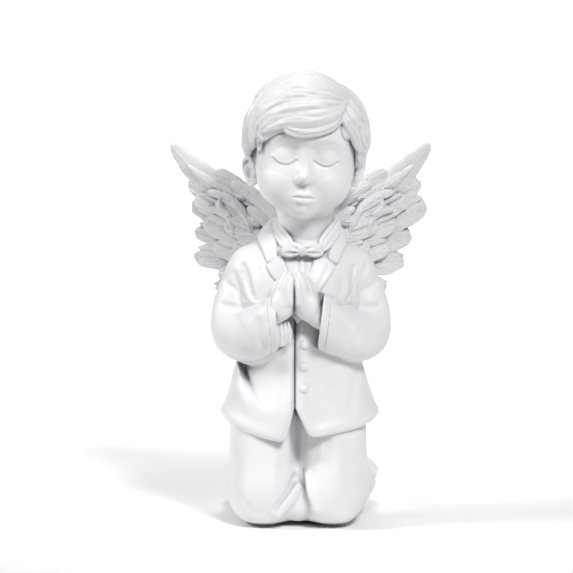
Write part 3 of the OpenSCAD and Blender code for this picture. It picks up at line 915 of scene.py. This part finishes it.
def fold_skirt(clay, from_arms):
    """A long slanting fold on the figure's right, and soft drapes round the rest."""
    x, y, z = clay.p
    ax, az, length = -22.8, 60.5, 23.5
    along = (0.5, -0.866)
    t = ((x - ax) * along[0] + (z - az) * along[1]) / length
    s = (x - ax) * -along[1] + (z - az) * along[0] + 2.2 * np.sin(math.pi * np.clip(t, 0, 1))
    where = smooth_step(-0.2, 0.05, t) * smooth_step(1.05, 0.5, t) * smooth_step(-4, -12, y)
    where = where * smooth_step(0.2, 2.2, from_arms)
    hollow = smooth_step(-0.8, 1.2, s) * np.exp(-np.maximum(s, 0) / 11.0)
    hollow = hollow * smooth_step(CLOSURE_X + 1, CLOSURE_X - 1, x)
    clay.d += (4.8 * hollow * where).astype(np.float32)
    clay.d -= (0.9 * np.exp(-(((s + 3.2) / 2.6) ** 2)) * where).astype(np.float32)
    drapes = [
        ([(20.2, 54.5), (18.6, 49.5), (17.6, 43)], 2.2, 0.6),
        ([(12.5, 60), (11.2, 52), (12.2, 42)], 2.6, 0.4),
        ([(6.8, 56), (5.8, 48), (6.6, 38)], 2.2, 0.3),
    ]
    clay.crease(drapes, 8)
    behind = [                                      # x, y, z, then width and depth, on each side
        ([(24.2, -1, 54.5), (25.4, 0, 49), (27.2, 1, 40)], 1.7, 0.8),
        ([(9, 12.0, 84), (10.5, 11.4, 72), (9.5, 12.0, 60), (12, 13.4, 44)], 1.3, 0.5),
        ([(21.0, 8.4, 58), (22.4, 9.6, 50), (23.0, 10.4, 42)], 2.0, 0.6),
    ]
    for side in (-1, 1):
        for line, width, depth in behind:
            clay.press([(side * q[0], q[1], q[2]) for q in line], width, depth)
    back_seam = [(0, 6.0, 98), (0, 10.0, 90), (0, 11.6, 80), (0, 11.2, 70), (0, 11.1, 60)]
    clay.press(back_seam, 0.5, 0.5)
    clay.press([back_seam[-1], (0, 12.1, 52), (0, 13.2, 45), (0, 14.0, 39)], 0.65, 1.3)


def fold_chest(clay):
    """Creases that run from the armpits across the chest."""
    creases = [
        ([(18.8, 91), (18.2, 85), (18.6, 79.5)], 0.9, 1.1),
        ([(23.0, 91), (21.2, 86.5), (20.2, 82)], 1.1, 0.6),
        ([(14.6, 88), (14.2, 83.5), (15.2, 79.5)], 1.5, 0.5),
        ([(-20.6, 91.5), (-18.8, 87.5), (-17.4, 82)], 1.0, 1.0),
        ([(-15.0, 90), (-14.2, 85), (-14.8, 80.5)], 1.7, 0.5),
        ([(-23.6, 88), (-22.0, 83.5), (-21.4, 79)], 1.3, 0.4),
    ]
    clay.crease(creases, 8)
    for side in (-1, 1):
        clay.press([(side * 17, 4.6, 92), (side * 19.4, 3.6, 84), (side * 20, 2.6, 76)], 1.3, 0.8)


def fold_sleeve(clay, side):
    deep = 1.0 if side > 0 else 0.85
    in_front = [                                    # x and z, then width and depth
        ([(13.6, 79.8), (18.0, 77.8), (22.5, 76.8), (27.4, 77.6)], 1.0, 1.2),
        ([(16.4, 80.2), (18.8, 84.4), (20.6, 89.0)], 0.9, 0.8),
        ([(19.4, 79.6), (23.0, 82.8), (26.2, 84.4)], 0.9, 0.6),
        ([(9.6, 78.6), (13.0, 74.0), (16.2, 68.6), (18.0, 63.4)], 1.6, 0.5),
        ([(22.6, 73.6), (20.8, 70.2), (19.2, 67.2)], 2.2, 0.3),
    ]
    clay.crease([([(side * x, z) for x, z in line], *rest) for line, *rest in in_front], 10, deep)
    folds = [                                       # x, y and z, then width and depth
        ([(29.6, -3.5, 80), (30.6, -5.0, 74), (30.2, -9.0, 68)], 1.6, 0.6),
        ([(24.0, 1.8, 80), (25.2, 0.4, 75), (25.4, -1.2, 70)], 1.5, 0.6),
        ([(28.8, 0.6, 84), (30.2, -1.6, 78), (31.0, -5.0, 71)], 1.0, 0.4),
    ]
    for line, width, depth in folds:
        clay.press(smooth_path([(side * x, y, z) for x, y, z in line], 10), width, depth * deep)
    if side < 0:
        clay.crease([([(-15.4, 74.0), (-14.8, 69.6), (-13.4, 65.2)], 1.6, 1.0)], 8)
    ridge = [(8.8, -31.0, 81.6), (13.6, -28.6, 78.9), (19.0, -24.2, 76.2), (26.0, -17.6, 74.0)]
    clay.press(smooth_path([(side * x, y, z) for x, y, z in ridge], 10), 1.7, -0.8)


NECK_X = 0.6                                        # middle of the coat's collar


def add_coat_collar(clay):
    """The coat's turned collar: round the back of the neck and down to the notches in front."""
    for side in (-1, 1):
        half = [(0, 4.6, 103.0), (7.6, 2.8, 104.2), (11.9, -3.0, 103.8), (12.9, -9.0, 101.8),
                (11.9, -14.6, 98.8), (10.9, -18.6, 94.8)]
        path = smooth_path([(NECK_X + side * x, y, z) for x, y, z in half], 16)
        faces = [(0, 0.8, 0.6), (0.45, 0.7, 0.6), (0.75, 0.1, 0.65), (0.62, -0.45, 0.65),
                 (0.45, -0.75, 0.5), (0.35, -0.85, 0.35)]
        facing = smooth_path([(side * x, y, z) for x, y, z in faces], 16)
        n = len(path)
        wide = np.interp(np.linspace(0, 1, n), [0, 0.35, 0.7, 1], [3.2, 3.2, 3.6, 2.4])
        clay.add(blade(path, facing, wide, np.full(n, 1.3), flat=True), 0.2)


# ---- hands --------------------------------------------------------------------------------------

FINGERS = [                                         # base, middle and tip; x is from the palms' plane
    ((1.8, -33.9, 81.0, 1.80), (1.5, -34.3, 85.2, 1.50), (0.7, -33.7, 88.8, 1.05)),
    ((3.7, -32.9, 81.4, 1.85), (3.1, -33.3, 86.4, 1.55), (1.6, -32.7, 90.6, 1.10)),
    ((5.5, -31.3, 81.2, 1.85), (4.9, -31.8, 86.2, 1.55), (3.0, -31.3, 90.4, 1.10)),
    ((7.1, -29.5, 80.6, 1.80), (6.5, -30.0, 85.0, 1.50), (4.8, -29.8, 88.6, 1.10)),
]
THUMB = ((4.6, -27.2, 77.6, 2.1), (3.0, -26.8, 82.6, 1.7), (1.4, -27.2, 86.0, 1.3))
WRIST = ((4.4, -31.0, 78.6, 3.6), (7.0, -30.0, 76.0, 3.6), (10.4, -28.4, 74.2, 4.2), (15.0, -25.4, 72.2, 4.6))


def sculpt_hand(side):
    """One hand of the pair, fingers up, its palm against the other's."""
    clay = Clay((PALM_X - 2, -38, 64), (PALM_X + 19, -20, 94), 0.22)
    at = lambda q: (PALM_X + q[0], *q[1:])
    for finger in FINGERS:
        clay.add(limb([at(q) for q in finger], 8), 0.7)
    clay.add(limb([at(q) for q in THUMB], 6), 0.6)
    clay.add(ellipsoid(at((4.0, -31.2, 79.6)), (5.2, 3.3, 5.0), rotation_z(math.radians(-38))), 1.6)
    clay.add(limb([at(q) for q in WRIST], 10), 1.6)
    clay.keep((PALM_X + 0.06 - clay.p[0]) + 0 * clay.d, 0.6)
    if side < 0:
        clay = mirrored_clay(clay, PALM_X)
    return clay


def mirrored_clay(clay, plane):
    """The same clay seen in a mirror at x = plane."""
    out = Clay.__new__(Clay)
    out.voxel, out.d = clay.voxel, clay.d[::-1].copy()
    line = 2 * plane - clay.p[0][::-1]
    out.p = (line, clay.p[1], clay.p[2])
    out.low = np.array([float(line.ravel()[0]), clay.low[1], clay.low[2]])
    return out


# ---- shirt, collar, lapels, bow tie --------------------------------------------------------------


def sculpt_shirt():
    clay = Clay((-12, -32, 72), (13, -6, 104), 0.3)
    x, y, z = clay.p
    shape = outline([(-8.4, 98.8), (1.2, 96.4), (9.6, 98.4), (5.6, 91), (CLOSURE_X, 76), (-7.0, 91)], clay.p)
    chest = torso_distance(clay.p)
    d = np.maximum(smooth_max(chest - 0.35, shape + 0 * chest, 0.4), -(chest + 1.6))
    clay.d = smooth_max(d, y + 11.0 + 0 * d, 0.4).astype(np.float32)
    clay.press(clay.on_front([(-0.9, q) for q in np.linspace(78, 96, 8)]), 0.3, 0.35)
    clay.press(clay.on_front([(1.2, q) for q in np.linspace(78, 96, 8)]), 0.3, 0.35)
    return clay


LAPELS = {                                          # outlines seen from the front (x, z)
    -1: [(-6.6, 96.4), (-9.6, 94.6), (-12.4, 92.2), (-11.0, 89.4), (-7.9, 86.4), (-4.9, 80), (-2.6, 74.0),
         (-1.2, 76.0), (-3.0, 84), (-4.4, 90)],
    1: [(4.8, 96.4), (9.3, 94.9), (12.4, 92.2), (11.2, 89.8), (6.9, 83.7), (2.8, 77.4), (-1.2, 72.2),
        (-2.6, 74.4), (0.6, 82), (3.0, 90.2)],
}


def sculpt_lapel(side):
    """The turned front edge of the coat, below the notch."""
    clay = Clay((-15, -33, 70), (15, -10, 100), 0.3)
    chest = torso_distance(clay.p)
    shape = outline(LAPELS[side], clay.p) + 0 * chest
    roll = 1.25 + (0.2 if side > 0 else 0.0)
    d = smooth_max(chest - roll, shape, 0.9)
    clay.d = np.maximum(d, -(chest + 1.2)).astype(np.float32)
    if side > 0:
        clay.press(smooth_path(clay.on_front([(9.6, 91.6), (7.0, 87.0), (3.6, 81.4)]), 8), 1.0, 0.2)
    return clay


SHIRT_COLLAR_X = 1.8                                # the leaves lie round the leaning neck


def sculpt_shirt_collar():
    """A standing band round the neck with two leaves, each with stitched lines along it."""
    clay = Clay((-15, -26, 92), (18, 8, 110), 0.26)
    turn = np.radians(np.linspace(-90, 270, 41))
    points = [(1.2 + 10.4 * math.cos(a), -7.2 + 9.4 * math.sin(a), 102.4 + 2.6 * math.sin(a)) for a in turn]
    normals = [unit((math.cos(a), math.sin(a), 0.3)) for a in turn]
    n = len(turn)
    clay.add(blade(points, normals, np.full(n, 2.7), np.full(n, 0.85), flat=True))
    stitches = lambda across, along: -0.4 * np.exp(-(((np.abs(across) - 0.38) / 0.13) ** 2))
    for side in (-1, 1):
        half = [(11.0, -7.8, 105.6), (9.9, -12.6, 103.6), (7.8, -16.9, 101.0), (5.4, -20.2, 98.0)]
        leaf = smooth_path([(SHIRT_COLLAR_X + side * x, y, z) for x, y, z in half], 12)
        facing = smooth_path([(side * 0.8, -0.35, 0.5), (side * 0.62, -0.65, 0.5), (side * 0.45, -0.8, 0.5),
                              (side * 0.3, -0.88, 0.4)], 12)
        wide = np.interp(np.linspace(0, 1, 13), [0, 0.3, 0.75, 1], [2.0, 2.7, 2.6, 1.5])
        clay.add(blade(leaf, facing, wide, np.full(13, 0.8), stitches, flat=True), 0.2)
    return clay


def sculpt_bow_tie():
    low, high = box_mm("bow_tie")
    middle = (low + high) / 2 + (0, -0.4, 0.9)
    clay = Clay(low - 3, high + 3, 0.18)
    at = lambda x, y, z: (middle[0] + x, middle[1] + y, middle[2] + z)
    for side in (-1, 1):
        loop = [(0.6, -0.4, 0), (3.0, -0.7, 0.2), (5.3, 0.2, -0.1)]
        points = smooth_path([at(side * x, y, z) for x, y, z in loop], 8)
        facing = [unit((side * 0.15, -1, 0.3))] * len(points)
        wide = np.array([1.1, 1.4, 1.8, 2.2, 2.5, 2.7, 2.8, 2.7, 2.4])
        clay.add(blade(points, facing, wide, np.linspace(1.2, 1.8, 9), flat=True), 0.2)
        mouth = [(2.2, -2.2, -0.7, 0.35), (4.4, -2.5, -1.1, 0.85), (6.3, -1.9, -1.0, 0.6)]
        clay.cut(limb([(*at(side * x, y, z), r) for x, y, z, r in mouth], 8), 0.3)
        pleat = [at(side * 1.6, -1.8, 0.6), at(side * 3.6, -2.4, 1.2), at(side * 5.4, -2.0, 1.6)]
        clay.press(smooth_path(pleat, 6), 0.4, 0.5)
    clay.add(ellipsoid(at(0, -1.2, 0), (1.7, 1.6, 2.2)), 0.2)
    for x in (-0.55, 0.6):
        clay.press([at(x, -2.8, 1.9), at(x, -2.9, 0), at(x, -2.7, -1.9)], 0.26, 0.35)
    return clay


# ---- trousers and shoes -------------------------------------------------------------------------

LEG = [                                             # z, half width, front y, back y
    (1.0, 9.4, -29.0, 17.5), (2.2, 11.2, -32.0, 19.5), (4.5, 12.6, -34.2, 21.0), (8.5, 13.4, -35.2, 21.4),
    (13, 13.5, -35.0, 19.6), (18, 13.1, -33.4, 16.0), (24, 12.6, -31.2, 12.4), (30, 12.4, -29.8, 10.8),
    (36, 12.4, -28.7, 10.4), (40, 12.2, -27.2, 9.6), (46, 11.0, -23.0, 8.0),
]


def trousers_distance(p):
    left = loft(LEG, 2.3, 10.9).field(p)
    right = loft(LEG, 2.3, -12.9).field(p)
    return smooth_min(left, right, 4.5)


def under_slant(side, p):
    """Positive outside the slanting plane that trims the base at the figure's left (1) or right (-1)."""
    (out_x, out_z), (low_x, low_z) = ((28.4, 11.0), (16.4, 0.6)) if side > 0 else ((28.6, 9.0), (20.6, 0.8))
    length = math.hypot(out_x - low_x, out_z - low_z)
    return ((side * p[0] - out_x) * (out_z - low_z) - (p[2] - out_z) * (out_x - low_x)) / length


def sculpt_trousers():
    clay = Clay((-30, -38, 0), (28, 25, 47), 0.4)
    clay.d = trousers_distance(clay.p).astype(np.float32)
    for side in (-1, 1):
        clay.add(ellipsoid((-0.4 + side * 18.6, 3.0, 9.0), (9.0, 17.0, 9.0)), 4)
    clay.add(limb([(-1.0, -24.6, 7.4, 5.8), (-1.0, -8.0, 7.4, 6.2)], 4), 3.4)
    clay.add(limb([(-1.2, -28.4, 14.6, 1.4), (-4.4, -31.8, 10.4, 2.1), (-8.0, -33.4, 5.8, 1.6)], 8), 2.2)
    clay.add(limb([(2.6, -29.2, 19, 1.0), (4.2, -32.0, 13.0, 1.8), (6.2, -33.4, 7.6, 1.4)], 8), 2.4)
    folds = [
        ([(-2.2, 18), (-4.8, 13.6), (-9.0, 8.2)], 0.8, 1.2),
        ([(0.6, 20), (1.6, 14), (3.4, 9.0)], 0.8, 0.8),
        ([(4.6, 34), (5.4, 26), (3.6, 19)], 1.8, 0.5),
        ([(8.0, 36), (8.6, 30), (7.4, 24)], 1.6, 0.5),
        ([(-22.2, 20), (-23.0, 15), (-20.8, 11)], 1.0, 0.5),
        ([(-14, 34), (-16, 26), (-14, 19)], 2.6, 0.35),
        ([(17, 34), (18.6, 24), (16, 14)], 2.4, 0.4),
        ([(12, 10), (15, 7.0), (18.6, 6.4)], 1.4, 0.35),
        ([(-19, 8.6), (-15.6, 6.2), (-11.6, 6.4)], 1.4, 0.35),
        ([(11.6, 38), (12.4, 30), (11.4, 20)], 2.6, -0.45),
    ]
    clay.crease(folds, 10)
    for side in (-1, 1):
        x = -1.0 + side * 24.8
        clay.press([(x, -8, 36), (x + side * 0.4, -2, 28), (x + side * 0.8, 6, 20)], 1.4, 0.7)
        clay.press([(x, 2, 34), (x, 5, 27), (x + side * 0.8, 10, 18)], 1.2, 0.6)
        back = -1.0 + side * 12
        clay.press([(back - 9, 11.6, 25), (back, 12.6, 22.5), (back + 9, 11.6, 25)], 1.5, 1.0)
        clay.press([(back - 7, 16.6, 15), (back + 1, 17.6, 13.6), (back + 8, 16.6, 16)], 1.6, 0.7)
    for side in (-1, 1):
        clay.keep(under_slant(side, clay.p) + 0 * clay.d, 2.0)
    return clay


# x, y, z and radius along the foot, from the shin to the toe
SHOE = [(15.6, 12.0, 11.2, 7.2), (19.6, 18.6, 9.8, 7.9), (19.9, 25.4, 8.6, 7.0), (17.6, 32.0, 6.4, 4.7)]


def sculpt_shoe(side):
    """A foot laid back on the ground, with the sole's edge standing out round it."""
    clay = Clay((7, 6, 0), (31, 38.5, 22), 0.32)
    clay.add(limb(SHOE, 14))
    clay.add(ellipsoid((19.6, 19.5, 9.2), (8.2, 13.6, 8.0)), 2.5)
    slope = np.array(unit((0.30, 0.34, 0.89)))
    above = sum(axis * q for axis, q in zip(clay.p, slope)) - float(slope @ (20.2, 20.5, 14.2))
    sole = smooth_max(clay.d - 0.25, -above, 0.8)
    clay.d = np.minimum(clay.d, sole).astype(np.float32)
    clay.keep(1.2 - clay.p[2] + 0 * clay.d, 1.5)
    return clay.keep(under_slant(1, clay.p) + 0 * clay.d, 2.0)


# ---- buttons and felt pads ----------------------------------------------------------------------

BUTTON_Z = (65.0, 57.4, 49.8)
BUTTON_R = 1.6


def sculpt_buttons(jacket):
    """Three domed buttons down the front, each with a rim."""
    low, high = box_mm("jacket_buttons")
    x = (low[0] + high[0]) / 2
    clay = Clay(low - (2, 2, 2), high + (2, 3, 2), 0.16)
    for z in BUTTON_Z:
        y = jacket.front_y(x, z)
        clay.add(disc((x, y + 0.9, z), (x, y - 0.55, z - 0.08), BUTTON_R), 0.0)
        clay.add(ellipsoid((x, y - 0.35, z), (BUTTON_R * 0.86, 0.85, BUTTON_R * 0.86)), 0.25)
    return clay


def disc(a, b, r, rounding=0.35):
    """Flat round plate between two points on its axis."""
    a, b = np.array(a, float), np.array(b, float)
    length = float(np.linalg.norm(b - a))
    along = (b - a) / length

    def field(p):
        d = [axis - m for axis, m in zip(p, a)]
        t = d[0] * along[0] + d[1] * along[1] + d[2] * along[2]
        out = np.sqrt(np.maximum(sum(m * m for m in d) - t * t, 0))
        return smooth_max(out - r, np.abs(t - length / 2) - length / 2, rounding)

    reach = r + length
    return Solid(np.minimum(a, b) - reach, np.maximum(a, b) + reach, field)


def sculpt_pads():
    """Four round felt pads with a soft, fuzzy edge."""
    low, high = box_mm("felt_pads")
    clay = Clay(low - (1, 1, 0), high + (1, 1, 1.5), 0.18)
    r = 4.4
    x, y, z = clay.p
    for px in (low[0] + 4.5, high[0] - 4.5):
        for py in (low[1] + 4.5, high[1] - 4.5):
            clay.add(disc((px, py, 0.02), (px, py, 1.3), r, 0.4), 0.0)
    fuzz = np.sin(x * 5.1 + 2 * np.sin(y * 3.7)) * np.sin(y * 5.7 + 2 * np.sin(x * 4.3))
    clay.d += (0.05 * fuzz).astype(np.float32)
    clay.keep(0.05 - z + 0 * clay.d, 0.2)
    return clay


# ---- materials ----------------------------------------------------------------------------------


class Nodes:
    """Short names for making and joining shader nodes."""

    def __init__(self, name):
        self.material = bpy.data.materials.new(name)
        self.material.use_nodes = True
        self.tree = self.material.node_tree
        self.tree.nodes.clear()

    def add(self, kind, **values):
        node = self.tree.nodes.new(kind)
        for key, value in values.items():
            if key in node.inputs:
                node.inputs[key].default_value = value
            else:
                setattr(node, key, value)
        return node

    def join(self, out, into):
        self.tree.links.new(out, into)

    def noise(self, place, scale, detail=3.0, rough=0.5):
        node = self.add("ShaderNodeTexNoise", Scale=scale, Detail=detail, Roughness=rough)
        self.join(place, node.inputs["Vector"])
        return node.outputs["Fac"]

    def spread(self, value, low, high, to_low, to_high):
        node = self.add("ShaderNodeMapRange")
        self.join(value, node.inputs["Value"])
        for key, number in zip(("From Min", "From Max", "To Min", "To Max"), (low, high, to_low, to_high)):
            node.inputs[key].default_value = number
        return node.outputs["Result"]

    def mix(self, share, a, b):
        node = self.add("ShaderNodeMix", data_type="RGBA")
        node.inputs["A"].default_value = a
        node.inputs["B"].default_value = b
        self.join(share, node.inputs["Factor"])
        return node.outputs["Result"]


def object_mm(nodes):
    """The piece's own coordinates, in the sculpture's millimetres."""
    place = nodes.add("ShaderNodeTexCoord")
    scale = nodes.add("ShaderNodeMapping")
    scale.inputs["Scale"].default_value = (1 / MM, 1 / MM, 1 / MM)
    nodes.join(place.outputs["Object"], scale.inputs["Vector"])
    return scale.outputs["Vector"]


PAINTED_SHADE_REACH = 2.6                                  # how far the painted shade in a recess looks for its other side, in mm


def resin(name, rough, grain, pale, deep=(0.52, 0.51, 0.56), reach=PAINTED_SHADE_REACH):
    """White cast resin with a satin skin: faint mottling, casting grain, and painted shade in creases and
    recesses, tinted towards the grey colour deep.
    """
    n = Nodes(name)
    place = object_mm(n)
    shader = n.add("ShaderNodeBsdfPrincipled")
    out = n.add("ShaderNodeOutputMaterial")
    cloudy = n.noise(place, 0.09, 3.0)
    tone = n.mix(n.spread(cloudy, 0.35, 0.65, 0, 1), (pale, pale, pale + 0.015, 1),
                 (pale + 0.04, pale + 0.04, pale + 0.05, 1))
    # painted shade: creases found by pointiness, and recesses found by ambient occlusion within reach, darken
    # the base colour
    hollow = n.add("ShaderNodeNewGeometry")
    crease = n.spread(hollow.outputs["Pointiness"], 0.40, 0.50, 1.0, 0.0)
    painted_shade_ao = n.add("ShaderNodeAmbientOcclusion", samples=6)
    painted_shade_ao.inputs["Distance"].default_value = reach * MM
    shade = n.spread(painted_shade_ao.outputs["AO"], 0.35, 0.85, 1.0, 0.0)
    painted_shade_mask = n.add("ShaderNodeMath", operation="MAXIMUM")
    n.join(crease, painted_shade_mask.inputs[0])
    n.join(shade, painted_shade_mask.inputs[1])
    # the painted shade is mixed into the base colour, up to the grey colour deep
    painted_shade_mix = n.add("ShaderNodeMix", data_type="RGBA")
    n.join(painted_shade_mask.outputs["Value"], painted_shade_mix.inputs["Factor"])
    n.join(tone, painted_shade_mix.inputs["A"])
    painted_shade_mix.inputs["B"].default_value = (*deep, 1)
    n.join(painted_shade_mix.outputs["Result"], shader.inputs["Base Color"])
    gloss = n.spread(n.noise(place, 0.35, 4.0), 0.3, 0.7, rough - 0.05, rough + 0.07)
    n.join(gloss, shader.inputs["Roughness"])
    shader.inputs["IOR"].default_value = 1.48
    shader.inputs["Specular IOR Level"].default_value = 0.5
    coarse = n.add("ShaderNodeBump", Strength=0.10 * grain, Distance=0.25 * MM)
    n.join(n.noise(place, 0.9, 4.0, 0.55), coarse.inputs["Height"])
    fine = n.add("ShaderNodeBump", Strength=0.06 * grain, Distance=0.10 * MM)
    n.join(n.noise(place, 5.0, 3.0, 0.6), fine.inputs["Height"])
    n.join(coarse.outputs["Normal"], fine.inputs["Normal"])
    n.join(fine.outputs["Normal"], shader.inputs["Normal"])
    n.join(shader.outputs["BSDF"], out.inputs["Surface"])
    return n.material


def felt(name):
    """Grey white felt: matt, with short matted fibres."""
    n = Nodes(name)
    place = object_mm(n)
    shader = n.add("ShaderNodeBsdfPrincipled")
    out = n.add("ShaderNodeOutputMaterial")
    fibres = n.noise(place, 6.0, 6.0, 0.75)
    clumps = n.noise(place, 0.8, 3.0)
    tone = n.mix(n.spread(fibres, 0.3, 0.7, 0, 1), (0.55, 0.55, 0.56, 1), (0.74, 0.74, 0.74, 1))
    n.join(tone, shader.inputs["Base Color"])
    n.join(n.spread(clumps, 0.3, 0.7, 0.88, 0.98), shader.inputs["Roughness"])
    shader.inputs["Sheen Weight"].default_value = 0.25
    shader.inputs["Sheen Roughness"].default_value = 0.5
    bump = n.add("ShaderNodeBump", Strength=0.7, Distance=0.2 * MM)
    n.join(fibres, bump.inputs["Height"])
    n.join(bump.outputs["Normal"], shader.inputs["Normal"])
    n.join(shader.outputs["BSDF"], out.inputs["Surface"])
    return n.material


def paper(name):
    """Plain pale surface for the studio floor."""
    n = Nodes(name)
    place = object_mm(n)
    shader = n.add("ShaderNodeBsdfPrincipled")
    out = n.add("ShaderNodeOutputMaterial")
    cloudy = n.spread(n.noise(place, 0.01, 2.0), 0.3, 0.7, 0, 1)
    n.join(n.mix(cloudy, (0.93, 0.93, 0.93, 1), (0.95, 0.95, 0.95, 1)), shader.inputs["Base Color"])
    shader.inputs["Roughness"].default_value = 0.9
    n.join(shader.outputs["BSDF"], out.inputs["Surface"])
    return n.material


# ---- the figure ---------------------------------------------------------------------------------


def build_figure():
    """Sculpts every piece, several at a time, and puts each in the scene in a fixed order."""
    both = (("left", 1), ("right", -1))
    jobs = {
        "head": sculpt_head,
        "hair": sculpt_hair,
        "clothes": sculpt_clothes,
        "trousers": sculpt_trousers,
        "shirt_front": sculpt_shirt,
        "shirt_collar": sculpt_shirt_collar,
        "bow_tie": sculpt_bow_tie,
        "felt_pads": sculpt_pads,
    }
    for name, side in both:
        jobs[name + "_ear"] = sculpt_ear
        jobs[name + "_wing"] = lambda side=side: sculpt_wing(side)
        jobs[name + "_hand"] = lambda side=side: sculpt_hand(side)
        jobs[name + "_lapel"] = lambda side=side: sculpt_lapel(side)
        jobs[name + "_shoe"] = lambda side=side: sculpt_shoe(side)
    with ThreadPoolExecutor(WORKERS) as pool:
        clays = dict(zip(jobs, pool.map(lambda make: make(), jobs.values())))
    clays.update(clays.pop("clothes"))
    clays["jacket_buttons"] = sculpt_buttons(clays["jacket"])
    places = {"head": lean_head, "hair": lean_head}
    for name, side in both:
        places[name + "_ear"] = ear_place(side)
        places[name + "_wing"] = places[name + "_shoe"] = to_side(side)
    skin = resin("resin_skin", 0.40, 0.6, 0.80)
    cloth = resin("resin_cloth", 0.44, 1.2, 0.77)
    # hair: a darker copy of the same resin as painted shade, which tones down its brightly lit crown, with a
    # darker painted shade in the gaps between locks
    carved = resin("resin_carved", 0.46, 1.0, 0.735, (0.42, 0.41, 0.46))
    pad = felt("felt")
    # wings: a darker copy of the same resin as painted shade, with a darker and wider-reaching painted shade
    # in the recesses between feathers
    feathered = resin("resin_feathered", 0.46, 1.0, 0.70, (0.36, 0.35, 0.40), 1.6 * PAINTED_SHADE_REACH)
    materials = {"head": skin, "hair": carved, "felt_pads": pad}
    for name, side in both:
        materials.update({name + "_ear": skin, name + "_hand": skin, name + "_wing": feathered})
    for name, clay in clays.items():
        mesh = clay_mesh(name + "_form", clay, places.get(name))
        slot = "felt" if name == "felt_pads" else "resin"
        piece(name + "_sculpt", mesh, materials.get(name, cloth), slot, name)


# ---- stage, light and camera --------------------------------------------------------------------

FLOOR_FRONT = -4.0                                  # the floor starts in front of the camera
FLOOR_BACK = 2.9                                    # and curves up into the backdrop from here
SWEEP_R = 0.7                                       # radius of that curve
BACKDROP_H = 3.0
FLOOR_W = 8.0
LIT_Z = 0.085                                       # height that the lamps are aimed at
VIEW_MIDDLE = (-5.1, 0.0, 81.8)                     # middle of the picture, in the sculpture's mm
VIEW_DISTANCE = 2.0
VIEW_DOWN = math.radians(8)                         # how steeply the camera looks down
VIEW_LENS = 353.2


def add_floor():
    """Floor and backdrop in one pale sheet."""
    turn = np.linspace(0, math.pi / 2, 17)
    bend = [(FLOOR_BACK + SWEEP_R * math.sin(a), SWEEP_R * (1 - math.cos(a))) for a in turn]
    side = [(FLOOR_FRONT, 0.0), (-1.0, 0.0), (0.0, 0.0), *bend, (FLOOR_BACK + SWEEP_R, BACKDROP_H)]
    across = np.linspace(-FLOOR_W / 2, FLOOR_W / 2, 5)
    points = np.array([(x, y, z + cad_low[2]) for y, z in side for x in across])
    n = len(across)
    quads = np.array([(r * n + c, r * n + c + 1, (r + 1) * n + c + 1, (r + 1) * n + c)
                      for r in range(len(side) - 1) for c in range(n - 1)])
    floor = bpy.data.objects.new("floor", quad_mesh("floor_form", points, quads))
    bpy.context.scene.collection.objects.link(floor)
    floor.data.materials.append(paper("floor_paper"))


def aim_at(thing, place, aim):
    thing.location = place
    thing.rotation_euler = (Vector(aim) - Vector(place)).to_track_quat("-Z", "Y").to_euler()


def add_light(name, place, aim, power, size, beam=None):
    """A round soft box, or where beam is an angle, a lamp that lights only a pool round its aim."""
    data = bpy.data.lights.new(name, "SPOT" if beam else "AREA")
    if beam:
        data.spot_size = beam
        data.spot_blend = 0.7
        data.shadow_soft_size = size / 2
    else:
        data.shape = "DISK"
        data.size = size
    data.energy = power
    light = bpy.data.objects.new(name, data)
    aim_at(light, place, aim)
    bpy.context.scene.collection.objects.link(light)


def from_side(turn, up, distance):
    """A place round the figure: turn from straight ahead towards the viewer's right, and up, in degrees."""
    turn, up = math.radians(turn), math.radians(up)
    flat = distance * math.cos(up)
    return (flat * math.sin(turn), -flat * math.cos(turn), LIT_Z + distance * math.sin(up))


def add_studio():
    scene = bpy.context.scene
    world = bpy.data.worlds.new("studio")
    world.use_nodes = True
    world.node_tree.nodes["Background"].inputs["Color"].default_value = (0.95, 0.95, 1.0, 1)
    world.node_tree.nodes["Background"].inputs["Strength"].default_value = 0.13
    scene.world = world
    middle = (0, 0, LIT_Z)
    add_light("front", from_side(26, 42, 1.5), middle, 69.0, 0.40, math.radians(30))
    add_light("left", from_side(-80, 34, 1.5), middle, 50.0, 0.45, math.radians(28))
    add_light("top", from_side(180, 72, 1.9), (0, 0.25, 0), 3.0, 1.4)
    add_light("backdrop", (0, 0.7, 1.9), (0, 2.1, 0), 340.0, 0.6, math.radians(120))
    scene.view_settings.view_transform = "Standard"


def add_camera():
    data = bpy.data.cameras.new("camera")
    data.lens = VIEW_LENS
    camera = bpy.data.objects.new("camera", data)
    x, y, z = [v * MM for v in VIEW_MIDDLE]
    ahead = (0, math.cos(VIEW_DOWN), -math.sin(VIEW_DOWN))
    camera.location = (x, y - ahead[1] * VIEW_DISTANCE, z - ahead[2] * VIEW_DISTANCE)
    camera.rotation_euler = Vector(ahead).to_track_quat("-Z", "Y").to_euler()
    bpy.context.scene.collection.objects.link(camera)
    bpy.context.scene.camera = camera


build_figure()
add_floor()
add_studio()
add_camera()
